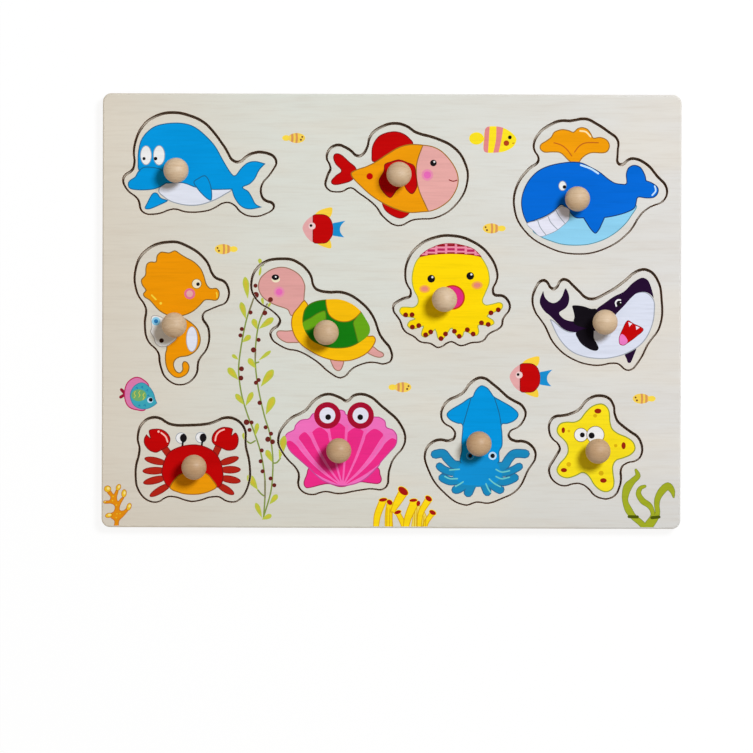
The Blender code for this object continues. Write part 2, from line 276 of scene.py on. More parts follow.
def draw_dolphin():
    """Sky blue, arched, with a pale belly."""
    belly = smooth([(-9.5, -10.5), (-6, -14.2), (-2, -16.4), (5, -18), (12, -17.8), (19, -15.6), (25, -12.4),
        (28.6, -9.4), (18, -8), (5, -5), (-6, -6)])
    body = smooth([(-2, 25), (5, 24.5), (10, 22.5), (15, 18.5), (20, 13), (24, 6), (28, -0.5), (30.3, -2.2),
        (33.3, 1.5), (36.7, 4.4), (41, 5.2), (46.2, 3.9), (46.2, 3.9), (43, 0.5), (40.7, -4), (38, -6.8),
        (34.5, -8.5), (37.3, -10.4), (39.5, -14), (41.2, -17), (44.5, -18.7), (44.5, -18.7), (38, -19.9),
        (33.3, -18.3), (30, -14), (28.5, -9.6), (28.5, -9.6), (18, -9.8), (10, -8.7), (3, -6.4), (-6, -6.5),
        (-14, -4), (-19.5, 0), (-20.2, 4), (-20, 10), (-18.5, 16), (-15, 20.6), (-10, 23.7)])
    bill = smooth([(-19.5, 0), (-21.5, -3), (-24.4, -5), (-25.3, -7), (-24, -9.5), (-18, -10.2), (-11, -9.5),
        (-6, -7), (-4.5, -5), (-7, 0), (-13, 1.6)])
    side = smooth([(8.7, -5.7), (11.5, -3.5), (14.5, -2.2), (16.5, -4), (18, -8), (18.5, -12), (18.2, -15.2),
        (16.5, -15), (13.5, -12.5), (10.5, -9)])
    front = smooth([(-12.6, -11.8), (-10, -11.5), (-8, -14), (-4.4, -15.5), (-9, -18), (-14, -20),
        (-16.5, -19.5), (-15.5, -17)])
    return [
        *lined(belly, "belly_white", "grey_line"), *lined(front, "sky"), *lined(bill, "sky"),
        *lined(body, "sky"), *fill(bill, "sky", LINE),
        *stroke([(-19.7, -0.2), (-17, 1.7), (-13, 1.8), (-9, 1), (-7.3, 0)], 0.25, "sky_line"),
        *lined(side, "sky"), *eye(-15.9, 8, 3.0, 5.1, (-16.9, 6.3), 0.85),
        *eye(-9.1, 8, 3.1, 5.2, (-10.9, 6.3), 0.95),
    ]


def draw_fish():
    """Orange, with a pink head, red fins and a spot."""
    body = smooth([(-25, 0), (-24.5, 1.5), (-21, 3.2), (-17, 4.5), (-12, 7), (-6, 11), (0, 14.5), (6, 16),
        (12.5, 15.7), (18, 14.7), (23, 11.8), (28, 6), (30.7, 0), (30.5, -6), (27, -12.5), (22, -16.6),
        (17, -18.8), (12, -19.4), (5, -19.7), (-2, -17.8), (-9, -14.5), (-15, -10.5), (-20, -6),
        (-23.5, -2.5)])
    face_edge = smooth([(13.6, 18.5), (12, 14.5), (10, 9), (9, 4), (9.3, -3), (10.8, -9), (13.5, -15),
        (16.6, -21.5)], closed=False)
    head = [*face_edge, (34, -21), (34, 18)]
    back_fin = smooth([(-13, 6.5), (-14.3, 11), (-13.5, 16), (-10, 20.5), (-4, 22.5), (1, 22), (5, 19.5),
        (7, 15.5), (-3, 12)])
    low_fin = smooth([(-8.5, -14), (-7.5, -18), (-4, -21), (0.5, -22.7), (4, -21.5), (5.3, -19), (-2, -17)])
    tail = smooth([(-22, 3), (-26, 7), (-30, 10.5), (-33, 11), (-34.2, 9), (-33, 5.5), (-30, 2), (-33, -0.5),
        (-35.3, -3.5), (-34, -5.3), (-30, -5), (-24, -2.7)])
    side_fin = smooth([(-7.5, 5.5), (-4, 7), (0, 8), (4.5, 6.5), (8, 4.8), (9, 0), (9.5, -6), (7, -10),
        (4, -8), (2.5, -5), (2.5, -5), (-1, -8), (-4.5, -12), (-9, -8), (-10.5, -3), (-8, 2)])
    return [
        *lined(tail, "red"), *lined(back_fin, "red"), *lined(low_fin, "red"), *lined(body, "orange"),
        *fill(head, "pink_skin", 0.0, offset(body, -LINE)), *stroke(face_edge, 0.28, "orange_line", body),
        *lined(side_fin, "red"), *dot("black", 17.8, 6.2, 1.7), *dot("white", 18.3, 6.8, 0.5),
        *cheek(14.7, 0, 3), *stroke([(26, -2.5), (28, -3.2), (30, -2.7)], 0.28, "red_line"),
        *dot("red", -15.2, -0.8, 1.7),
    ]


def draw_whale():
    """Royal blue, with grooved teeth and an orange spout."""
    belly = smooth([(31, -3), (28, -9), (25, -13), (20, -17.5), (14, -21), (7, -23.3), (0, -24), (-7, -23.6),
        (-13, -22), (-19, -19.5), (-23, -16), (-18, -11), (-8, -6), (8, -6), (22, -4)])
    body = smooth([(-4, 19.5), (2, 19.2), (7, 17), (12, 14.2), (16, 11), (19.5, 8.8), (23, 8.2), (25.5, 8.5),
        (25.3, 13), (26.5, 16.5), (29.5, 18), (33, 16.8), (35.3, 13), (36, 10), (36, 10), (39, 8.8),
        (42, 6.5), (42.2, 3.5), (40, 1), (36, 0.6), (31.8, 1), (31, -1.5), (30, -4.5), (26, -6.8),
        (20, -8.6), (14.5, -9.6), (14.5, -9.6), (13, -13), (11.5, -16), (9.5, -17.8), (7, -15.5), (5, -12.5),
        (3.3, -9.8), (3.3, -9.8), (-1, -9.5), (-5, -5.5), (-8, -3), (-11, -5.5), (-15, -8.3), (-20, -10.5),
        (-26, -12.5), (-26, -12.5), (-28, -8), (-29, -2), (-28, 4), (-25, 10), (-20, 15), (-13, 18)])
    teeth = smooth([(-26, -12.6), (-20, -10.7), (-15, -8.5), (-11, -5.7), (-8, -3.5), (-4, -5), (-3.7, -8),
        (-4, -10.5), (-6, -12.7), (-10, -16), (-14, -18), (-19, -19.4), (-22.5, -16.5)])
    spout = smooth([(-4.5, 20), (-6.5, 22), (-9, 24), (-13, 24.3), (-17, 24.2), (-19.3, 26), (-19, 28.5),
        (-16, 30.5), (-13.5, 32.5), (-12, 35), (-8, 36.4), (-4, 35.8), (-2, 35), (0, 36.8), (2.5, 37.5),
        (5.5, 36.5), (7.5, 33.8), (8.5, 32), (12, 32.4), (15.5, 31), (17, 28), (16, 25), (13.5, 23.9),
        (8, 24), (5, 23), (2.5, 21), (1, 19), (-2, 18.5)])
    return [
        *lined(belly, "pale_blue", "belly_line", 0.45), *lined(spout, "orange"),
        *stroke([(-12, 29.3), (-8, 28), (-5, 25.5), (-2.8, 22.5)], 0.3, "spout_line"),
        *stroke([(-1.3, 24.5), (1, 27.5), (4.5, 29.3), (11, 29.4)], 0.3, "spout_line"),
        *stroke([(1.5, 35.5), (4.5, 35), (7, 32.5)], 0.4, "pale_spout"), *lined(body, "royal"),
        *lined(teeth, "tooth", "grey_line", 0.3),
        *stroke([(-20.3, -11), (-19, -14.5), (-16, -18.5)], 0.22, "grey_line"),
        *stroke([(-15, -8.7), (-13.5, -12), (-10, -15.7)], 0.22, "grey_line"),
        *stroke([(-10.7, -6), (-9, -9), (-6, -12.7)], 0.22, "grey_line"),
        *eye(-7.5, 7, 2.1, 2.6, (-6.5, 6.4), 0.95), *stroke([(2, 17.8), (7, 16), (11, 13.5)], 0.5, "glint"),
        *stroke([(40.3, 7), (40.8, 4.5), (39, 2.3)], 0.4, "glint"),
    ]


def draw_seahorse():
    """Amber, with a curled tail and a pale fin."""
    head = smooth([(0.5, 38.7), (3, 37), (6, 35.2), (10, 33), (13.5, 29.5), (15.3, 25.5), (16.5, 21.5),
        (18.5, 19.3), (21.5, 19.4), (23.2, 17.5), (23, 14.3), (21.3, 12.7), (18, 13), (15.5, 12.7), (13, 10),
        (9.5, 7), (5, 5), (0, 4.5), (-4.5, 5.3), (-8.5, 7.7), (-12, 11.5), (-13.5, 13), (-16, 14.5),
        (-16.5, 16.5), (-15.2, 18), (-17, 20.5), (-17.6, 23.5), (-15.5, 26), (-15.3, 29.5), (-14.5, 32),
        (-12.5, 33), (-10, 33), (-9.5, 36), (-7.5, 38), (-5.5, 38), (-3, 37.7), (-1, 38.6)])
    body = smooth([(-3, 6), (2, 5.5), (5.5, 3.5), (9, 1.2), (12, -2), (13.5, -6.5), (13, -10.5), (10.5, -14),
        (7, -16), (2.5, -16.8), (0.2, -18.5), (-0.3, -21), (1, -23.8), (2.8, -24.5), (4, -23), (3.8, -20.5),
        (4.6, -18.7), (6.5, -19), (7.8, -21.5), (6.8, -25), (3.5, -27.2), (0, -27), (-3.3, -24), (-4.8, -20),
        (-5, -15), (-4.3, -11.3), (-6, -6), (-7, 0)])
    fin = smooth([(-11.5, 5), (-9, 5), (-6.5, 4), (-2, 1), (1, -4), (1, -7), (-1, -9), (-4, -11),
        (-7.5, -11.3), (-10, -9.5), (-11, -6.5), (-12.7, -3.5), (-12, -1), (-12.5, 3)])
    return [
        *lined(body, "amber"), *lined(oval(8.9, -7.2, 3.0, 6.6), "belly_white", "grey_line", 0.3),
        *lined(head, "amber"), *lined(fin, "fin_white", "fin_line", 0.4),
        *lined(oval(11.3, 21.5, 2.6), "cream", "amber_line", 0.3), *dot("black", 12, 21.3, 0.95),
        *cheek(7.7, 16.3, 2.8, "rose_cheek", "pink_skin"),
        *stroke([(-12, 15.5), (-9.8, 13.3)], 0.4, "lemon_stroke"), *dot("lemon_stroke", -7.3, 11.3, 0.7),
        *stroke([(21.5, 17), (21.9, 15.7), (21.8, 14.5)], 0.3, "lemon_stroke"),
        *dot("pale_blue", -9.7, 2, 2.2), *dot("dot_blue", -9.7, 2, 1.1), *dot("dark_brown", -6.8, -8, 1.2),
    ]


def draw_turtle():
    """A patched green dome in a golden rim, with pink skin."""
    head = smooth([(-22, 34), (-17, 32.3), (-13, 29), (-11, 24.5), (-11.2, 20), (-11.5, 16), (-12, 11),
        (-18, 8.5), (-20, 11.5), (-22, 12.5), (-26, 13.8), (-30, 15.7), (-33.5, 18.5), (-35.5, 23),
        (-34.5, 28), (-31, 31.5), (-27, 33.5)])
    dome = smooth([(0, 17.2), (-5, 16.5), (-9, 14.7), (-11.5, 11.5), (-12.4, 7), (-12, 3), (-10, -1),
        (-7, -4.5), (0, -7.5), (6, -8.2), (12, -7.5), (17, -5.2), (22, -1), (22.5, 3), (20.5, 7),
        (17.5, 11.5), (13, 15), (7, 17.2)])
    rim = smooth([(-10, 15.5), (-12, 16.5), (-14.5, 13.5), (-17.5, 9.5), (-18.3, 4), (-16.5, -2),
        (-13, -6.5), (-8, -10), (-2, -13), (5, -14.7), (12, -14.7), (18, -12.7), (22, -10), (25, -6),
        (25.7, -3.3), (24.3, -1.5), (21, -1.5), (10, 0), (-4, 4)])
    legs = (
        smooth([(-15, 0.8), (-21, 1), (-25, 1), (-26, -0.8), (-24.5, -3.3), (-21, -5.3), (-17.5, -5.5),
            (-13.5, -4.8)]),
        smooth([(2.3, -13.3), (3, -17), (4.5, -19.3), (6.5, -20), (8.3, -18.5), (9, -13.8)]),
        smooth([(24, -7), (27, -9), (29.5, -10.3), (30, -12), (28, -13), (24.5, -12.3), (21, -10)]),
    )
    left_patch = smooth([(-13, 5), (-8, 8), (-4, 10.5), (-0.5, 11.3), (0, 7), (0, 7), (-7, 2), (-10, 1),
        (-14, 1)])
    right_patch = smooth([(19, 11), (14, 6), (14.5, 2), (15.5, -2), (16.5, -6), (16.5, -6), (24, -3),
        (24, 6)])
    top_patch = smooth([(0, 18.5), (0.5, 11), (3, 7.5), (7, 5.7), (11.5, 5.7), (15, 7.5), (18, 10.5),
        (18, 10.5), (16, 19), (7, 19)])
    return [
        *each(lambda leg: lined(leg, "turtle_skin", "turtle_line"), legs),
        *lined(head, "turtle_skin", "turtle_line"), *lined(rim, "gold"),
        *lined(dome, "shell_green", "lime_line"), *lined(left_patch, "shell_lime", "lime_line", 0.4, dome),
        *lined(right_patch, "shell_lime", "lime_line", 0.4, dome),
        *lined(top_patch, "gold", "gold_line", 0.4, dome), *dot("cream", -26.3, 27.6, 2.2, 1.7),
        *dot("black", -26.5, 28.6, 1.95, 1.5), *dot("white", -26.3, 28.8, 0.45), *cheek(-24.5, 21, 2.8),
    ]


def draw_octopus():
    """Yellow, with a pink checked cap and eight sucker arms."""
    body = smooth([(18.8, 22.6), (22.3, 17), (23.5, 12), (23.3, 8), (21.5, 3.5), (20, -0.5), (21.5, -2.5),
        (25, -2), (28.5, -1.2), (30.5, -2.5), (29.8, -5), (27.5, -6), (24, -7.5), (22.5, -8.5),
        (25.5, -10.5), (26, -12.5), (23.5, -13.7), (20, -13.3), (17.7, -13.5), (18.2, -16.5), (17.3, -18.5),
        (15, -18.7), (12, -17), (10.5, -16.8), (9.8, -19), (8, -20), (5.8, -18.5), (4, -15), (2.5, -16.5),
        (0.5, -19.5), (-1.5, -21.3), (-3.5, -20), (-4.2, -17), (-4.8, -15.8), (-7, -18), (-9.7, -19.8),
        (-12, -18.5), (-11.5, -15.5), (-11, -14), (-14, -15), (-17, -15.5), (-19.3, -13.5), (-18, -11),
        (-15.5, -10), (-18, -9.3), (-21, -9), (-23.3, -6.5), (-22.5, -4), (-19.5, -3.7), (-16, -3.8),
        (-14, -2), (-14, 1), (-16, 5), (-17, 10), (-16.5, 15), (-15, 19.5), (-12.6, 22.4), (-8, 24.8),
        (0, 27.3), (8, 27.3), (14.5, 25.3)])
    cap = smooth([(-13, 22.2), (-7, 23.1), (3, 23.7), (13, 23.2), (19.5, 22), (19.5, 22), (17.6, 24.3),
        (15, 26.5), (11, 28), (4, 29.3), (-2, 28.8), (-6, 27.3), (-9.5, 25.5)])
    checks = []
    for height, ink in ((0.3, "cap_dark"), (2.4, "cap_rose"), (4.6, "cap_dark")):
        for column in range(-3, 4):
            x = 3.4 + 5.1 * column
            y = 22.0 + 1.7 * (1 - ((x - 3.4) / 16) ** 2) + height
            box = [(x - 1.95, y - 0.62), (x + 1.95, y - 0.62), (x + 1.95, y + 0.62), (x - 1.95, y + 0.62)]
            checks += fill(box, ink, 0.0, offset(cap, -0.2))
    suckers = [(-20, -8), (-16.7, -7.9), (-16.5, -14.3), (-13.2, -13.5), (-9.6, -18.3), (-7, -16.8),
        (-1.6, -20.2), (0.7, -17.8), (5.3, -16.4), (7.8, -19), (12, -15.6), (15, -17.8), (19.3, -12),
        (22.8, -12.8), (24.2, -6.8), (28, -5.2)]
    return [
        *lined(body, "yellow", "yellow_line", 0.5), *lined(cap, "cap_pink", "cap_dark", 0.3), *checks,
        *each(lambda place: dot("sucker", *place, 1.3), suckers), *dot("black", -6.8, 10.8, 2),
        *dot("white", -6.2, 11.6, 0.55), *dot("black", 13.4, 12.3, 2), *dot("white", 14, 13.1, 0.55),
        *cheek(-10.2, 5.5, 2.8, "soft_cheek_edge", "soft_cheek", 0.72),
        *cheek(17, 7.5, 2.9, "soft_cheek_edge", "soft_cheek", 0.72),
        *lined(oval(4.3, 1.2, 6.4), "mouth", "mouth_rim", 0.8),
    ]


def draw_orca():
    """Black-violet over white, tail up, with an open mouth."""
    white = smooth([(25.5, 12), (26, 5), (25, -1), (22.5, -7), (19, -11.5), (14, -15), (8, -17.5), (0, -19),
        (-8, -18.5), (-15, -16.5), (-20, -13), (-24, -8), (-27, -2), (-28.3, 1.5), (-26, 0.5), (-22, -3),
        (-18, -4.8), (-14, -4), (-6, 2), (2, 8), (10, 13), (20, 16)])
    tail = smooth([(-20.3, 17.5), (-18.5, 14), (-18.5, 10.5), (-20, 7.5), (-23.5, 5), (-22.5, 3), (-20, 1.2),
        (-15.3, 0.5), (-8, 2), (-4.5, 6.5), (0, 10), (5, 13.5), (10, 16), (14, 20), (17.5, 22.5), (20, 23.2),
        (22.5, 21.8), (24, 18.5), (25, 15), (25.5, 12.5), (25.5, 12.5), (23.8, 14.5), (21, 15.8), (17, 15.3),
        (14, 13), (10, 8.5), (6, 4.3), (2, -1), (-4, -4), (-10, -5.5), (-18, -4.8), (-22, -3), (-25, 0),
        (-28.5, 3.5), (-31, 5.5), (-33.3, 9), (-33.5, 12), (-31.8, 16.3), (-31.8, 16.3), (-31, 13),
        (-29, 10.8), (-26.5, 9.9), (-24, 11), (-22, 13.5)])
    back_fin = smooth([(-15.6, -1), (-15.6, 3), (-16.2, 6), (-16.8, 8.4), (-15, 8.8), (-11, 8.3), (-7, 7),
        (-4, 6.6), (-3, 0), (-8, -3)])
    side_fin = smooth([(-14.5, -5), (-13.5, -9), (-11, -12), (-7, -14.3), (-4, -14.7), (-3, -13.3),
        (-4, -11), (-5.5, -8), (-6.3, -3)])
    mouth = smooth([(11.8, 1), (15, -0.5), (20.3, -3.5), (16.5, -7.5), (12, -10.8), (10, -12), (7.8, -11.3),
        (7.5, -8), (9, -4)])
    tongue = smooth([(7.7, -10.5), (7.8, -7.5), (9, -6), (11, -7.5), (12, -10), (10, -11.8)])
    low_fin = smooth([(10.7, -15.7), (16.3, -13.2), (15.3, -17), (13.5, -21), (12.3, -21), (11.5, -19)])
    return [
        *fill(low_fin, "violet"), *lined(white, "orca_white", "orca_line"), *fill(tail, "violet"),
        *fill(back_fin, "fin_black"), *fill(side_fin, "fin_black"), *lined(mouth, "red", "red_line", 0.3),
        *fill(tongue, "tongue", 0.0, offset(mouth, -0.3)),
        *fill([(12.3, 0.2), (14.4, -0.6), (12.9, -2.2)], "tooth"),
        *fill([(16.2, -1.7), (18.2, -2.6), (16.5, -3.9)], "tooth"),
        *stroke([(8.2, 11.6), (6.8, 11.6), (5.7, 10.3), (6.1, 8.5)], 0.4, "white"),
        *dot("black", 7.7, 9.7, 1.3), *dot("white", 8.3, 10.3, 0.35),
    ]


def draw_crab():
    """Red, with raised claws and an orange belly."""
    dome = smooth([(-13.5, -10.5), (-17, -4), (-16.7, 0), (-15.3, 4.5), (-13, 8), (-8, 10.5), (-2, 11.7),
        (3.5, 11.3), (9, 9), (12, 6), (14, 2), (15, -3), (14.7, -7.5), (12.3, -10.7), (6, -9), (-6, -9)])
    belly = smooth([(-12.8, -11), (-10.5, -6.5), (-7, -3.5), (0, -1.5), (6.3, -3.2), (9.5, -6.5),
        (11.7, -10.3), (8, -12.8), (3, -14.2), (-3, -14.4), (-8, -13.5)])
    left_claw = smooth([(-17, 8.7), (-20, 7.3), (-23.5, 8.5), (-26, 11.5), (-26.3, 14.5), (-25, 17),
        (-25, 17), (-23, 15), (-23, 15), (-23.8, 18.8), (-21, 19.8), (-17, 19.5), (-14, 17.5), (-12.5, 14.5),
        (-13.3, 11.5), (-14.5, 10)])
    right_claw = smooth([(11, 11), (9, 13), (9, 16), (11, 19), (14.5, 20.8), (18.5, 20.5), (20, 19.7),
        (20, 19.7), (19.3, 16.5), (19.3, 16.5), (21.3, 18), (22.8, 15.5), (22.5, 11.5), (20.5, 9), (17, 8.5),
        (14, 9.7)])
    legs = [((-14.5, 1.8), (-26, 4.4), 1.9), ((-14.5, -1.8), (-27, -2.2), 2.0),
        ((-14.5, -5.4), (-26.6, -8.4), 2.0), ((-12, -8.6), (-23.2, -15.3), 1.9), ((12.5, 1.6), (23, 5), 1.9),
        ((13, -1.4), (24, -1.3), 2.0), ((13, -5.4), (24, -7.4), 2.0), ((11.5, -8.6), (20.6, -14.1), 1.9)]
    spindles = []
    for a, b, half in legs:
        turn = math.degrees(math.atan2(b[1] - a[1], b[0] - a[0]))
        spindles += lined(oval(*between(a, b, 0.5), math.dist(a, b) / 2, half, turn), "crab_leg", "red_line",
            0.4)
    pupils = dot("black", -5.8, 15, 1.8, 2.2) + dot("black", 4.4, 15.2, 1.8, 2.2)
    pupils += stroke([(-6, 14), (-6.3, 11)], 0.5, "black") + stroke([(4.1, 14), (3.7, 11)], 0.5, "black")
    return [
        *spindles, *capsule((-12.6, 5.6), (-15.5, 9.5), 1.9, "crab_leg", "red_line"),
        *capsule((10.2, 5.8), (12.4, 10.5), 1.9, "crab_leg", "red_line"),
        *lined(oval(-7, 15, 2.9), "white", "grey_line", 0.35),
        *lined(oval(3.3, 15.3, 2.9), "white", "grey_line", 0.35), *pupils, *lined(dome, "red"),
        *lined(belly, "orange", "gold_line"), *lined(left_claw, "red"), *lined(right_claw, "red"),
        *dot("crab_glint", -18.7, 18.3, 0.6),
        *stroke([(-17.3, 17.7), (-15, 15.7), (-14, 13)], 0.4, "crab_glint"),
        *stroke([(15.3, 19.5), (13, 18.5), (11.3, 16.5), (10.7, 13.7)], 0.4, "crab_glint"),
    ]


def draw_shell():
    """A pink scallop with seven magenta fans and two eyes."""
    scallop = smooth([(-16, -9), (-20, -5.5), (-25, -1), (-27, 2.5), (-28, 6.5), (-27, 9), (-23.5, 10.8),
        (-22.8, 13), (-20, 15.8), (-16, 16.5), (-15, 17.5), (-13, 19.5), (-8, 18), (-3, 20.3), (0.5, 21.3),
        (3, 20.5), (4.5, 18.5), (12, 18.5), (18.3, 17.7), (21, 17.5), (24, 15.5), (24.8, 12.3), (28, 11),
        (30, 8.5), (30.3, 5.5), (29.5, 2.5), (26, -1.5), (22, -6), (20.3, -8.7), (12, -16), (2, -18.5),
        (-8, -16)])
    wings = smooth([(-14, -8), (-17, -13), (-18.3, -17), (-17, -19.5), (-14, -19.3), (-9, -18), (-5, -17.5),
        (-1, -18.7), (2, -19), (6, -18), (11, -16.5), (16, -17), (20.5, -17.3), (22.3, -15.5), (21.7, -12.5),
        (19, -8), (2, -6)])
    base = (2, -18.5)

    def ray(corner, share):
        """A point on the curved ray from the base to a corner."""
        x, y = between(base, corner, share)
        bow = 0.22 * share * (1 - share) * (corner[0] - base[0])
        return (x + bow, y - abs(bow))

    fans = []
    for left, right, top in ((-29.5, -21.6, 5), (-20.8, -14.8, 9.5), (-14.0, -5.9, 12), (-5.1, 3.5, 14.5),
            (4.4, 13.5, 12), (14.3, 22.9, 11.3), (23.9, 31.5, 6.5)):
        start, end = (left, top - 2.8), (right, top - 2.8)
        sides = [base, base, ray(start, 0.3), ray(start, 0.6), ray(start, 0.9), start,
            ((left + right) / 2, top), end, ray(end, 0.9), ray(end, 0.6), ray(end, 0.3)]
        fans += fill(smooth(sides), "fan", 0.0, offset(scallop, -0.6))
    ribs = []
    for tip in ((-21.3, 4.6), (-14.5, 9), (-5.5, 11.4), (4, 12.6), (14, 11), (23.4, 7)):
        ribs += stroke([base, ray(tip, 0.25), ray(tip, 0.5), ray(tip, 0.75), tip], 0.4, "rib",
            offset(scallop, -0.6), 0.75)
    eyes = []
    for x, pupil in ((-6, -5.6), (11.2, 11)):
        eyes += dot("crimson", x, 18.2, 6.9)
        eyes += dot("tooth", x, 18.2, 4.1)
        eyes += dot("black", pupil, 17.3, 1.5)
    return [
        *lined(wings, "fan", "wing_line"), *lined(scallop, "shell_pink", "shell_line"), *fans, *ribs, *eyes,
    ]


def draw_squid():
    """Sky blue, with ten teal arms."""
    mantle = smooth([(1.5, 30.3), (4.5, 29), (6.5, 26.5), (8, 24.5), (12, 22.2), (17, 19.3), (20.3, 16.3),
        (20.3, 13.7), (18, 11.5), (14.5, 10.2), (12, 9.8), (12.3, 5), (12.3, -1), (10.8, -4), (10.8, -7),
        (10.3, -10), (5, -12), (-4, -12), (-9.5, -10), (-9.5, -6), (-9, -4), (-9, 2), (-8.6, 9.5),
        (-11, 10.3), (-14.5, 11.8), (-16.7, 14.3), (-16, 16.5), (-13, 18.7), (-9, 21), (-5.5, 23.5),
        (-3.3, 24.5), (-2.5, 26.5), (-0.8, 29)])
    middle = smooth([(-9.3, -9), (-11.5, -12), (-13.5, -15), (-12.5, -19), (-8, -22), (0, -22.5), (8, -21.5),
        (12, -18.5), (13, -15), (11.6, -12), (10.2, -9), (9.6, -7.5), (0, -5.5), (-8.6, -7.5)])
    arms = [([(-7, -11), (-12.5, -11), (-16, -8), (-18.5, -5.2), (-22.6, -5.6)], 2.4),
        ([(8, -11.5), (13, -11.5), (15.5, -8), (18.5, -5.2), (24.2, -5.2)], 2.4),
        ([(-7, -14.5), (-14, -14.8), (-18, -13.5), (-20.3, -11.8)], 2.1),
        ([(8, -15), (14, -15), (18, -13.5), (21, -11.8)], 2.1),
        ([(-6, -18), (-14, -19.5), (-18.7, -17.8)], 2.3), ([(6, -18), (13, -19.7), (18.7, -17.6)], 2.3),
        ([(-5, -20), (-10, -23.5), (-12, -24)], 2.2), ([(5, -20), (10, -23.5), (11.3, -23.9)], 2.2),
        ([(-3, -20), (-5.3, -25.4)], 2.5), ([(2.5, -20), (4.5, -25)], 2.3)]
    lights = [[(-15, -13.7), (-10, -13.3)], [(-17.5, -17), (-15, -18.2), (-11, -18.2)],
        [(-12, -22.3), (-9.5, -20.8), (-8, -19.8)], [(9, -13.3), (12, -14.7), (16, -14)],
        [(9, -17), (12, -18.2), (16, -17.3)], [(5.5, -18.3), (8, -20.5), (11.3, -22.3)],
        [(3.8, -20.8), (5, -23.5), (6.3, -25.3)]]
    return [
        *each(lambda arm: stroke(*arm, "teal_line"), arms),
        *each(lambda arm: stroke(arm[0], arm[1] - LINE, "teal"), arms), *fill(middle, "teal"),
        *lined(mantle, "sky"), *fill(middle, "sky_deep", 0.9),
        *each(lambda path: stroke(path, 0.35, "aqua"), lights),
        *stroke([(-4, 24), (-6, 17), (-8, 10)], 0.25, "sky_line"),
        # The left eye, where the knob's shadow falls, has its ring painted in darker blues as painted shade;
        # the right eye's ring is pale.
        *stroke([(8, 24), (10.5, 16), (11.5, 10)], 0.25, "sky_line"), *dot("squid_ring", -4.4, -6.3, 2.0),
        *dot("sky_deep", -4.4, -6.3, 1.75), *dot("black", -4.4, -6.3, 1.1), *dot("glint", 7.2, -6.3, 2.1),
        *dot("black", 7.2, -6.3, 1.2),
    ]


def draw_starfish():
    """Yellow, with two big eyes and brown-red spots."""
    body = smooth([(1.5, 24.7), (4.5, 23.5), (6.3, 20.5), (6.8, 15), (8, 11.5), (11, 9.2), (15.5, 7.3),
        (18.8, 4.7), (19.8, 1), (17.5, -2), (13.5, -3.8), (10, -5), (8.3, -8), (8.5, -12), (9, -16),
        (8.3, -19.3), (5.5, -21.3), (2, -20.8), (-1.5, -18), (-4, -14), (-6, -12), (-8, -11.5), (-11, -13),
        (-15.5, -14.3), (-19.5, -13), (-21.2, -10), (-19.7, -6.5), (-17, -3.5), (-15.5, -0.5), (-15.8, 3),
        (-17.5, 5.5), (-20.3, 8.2), (-21.2, 11), (-19.5, 14.2), (-16, 15.2), (-12, 15.2), (-9, 16.7),
        (-6.5, 20), (-3, 23.3)])
    spots = [(0.2, 20.7, 1.8, 1.3), (-17.7, 10.7, 0.9, 1.5), (13.6, 2.8, 1.1, 1.8), (-17.3, -10, 1.6, 1.1),
        (3.2, -15.3, 1.7, 1.2)]
    dots = [(-1.2, 18.3, 1.0), (-14.8, 10.3, 0.7), (9.5, 2.8, 0.9), (-14.8, -7, 1.2), (2, -11.5, 1.3)]
    return [
        *lined(body, "star", "star_line", 0.6), *each(lambda spot: dot("star_spot", *spot), spots),
        *each(lambda place: dot("star_gold", *place), dots),
        *eye(-8.5, 8.3, 3.7, 3.7, (-7.8, 8.3), 1.3, "olive_brown"),
        *eye(-1, 8.3, 4.7, 4.7, (-3, 8), 1.6, "olive_brown"),
    ]


ANIMALS = {
    "dolphin": draw_dolphin, "fish": draw_fish, "whale": draw_whale, "seahorse": draw_seahorse,
    "turtle": draw_turtle, "octopus": draw_octopus, "orca": draw_orca, "crab": draw_crab,
    "shell": draw_shell, "squid": draw_squid, "starfish": draw_starfish,
}


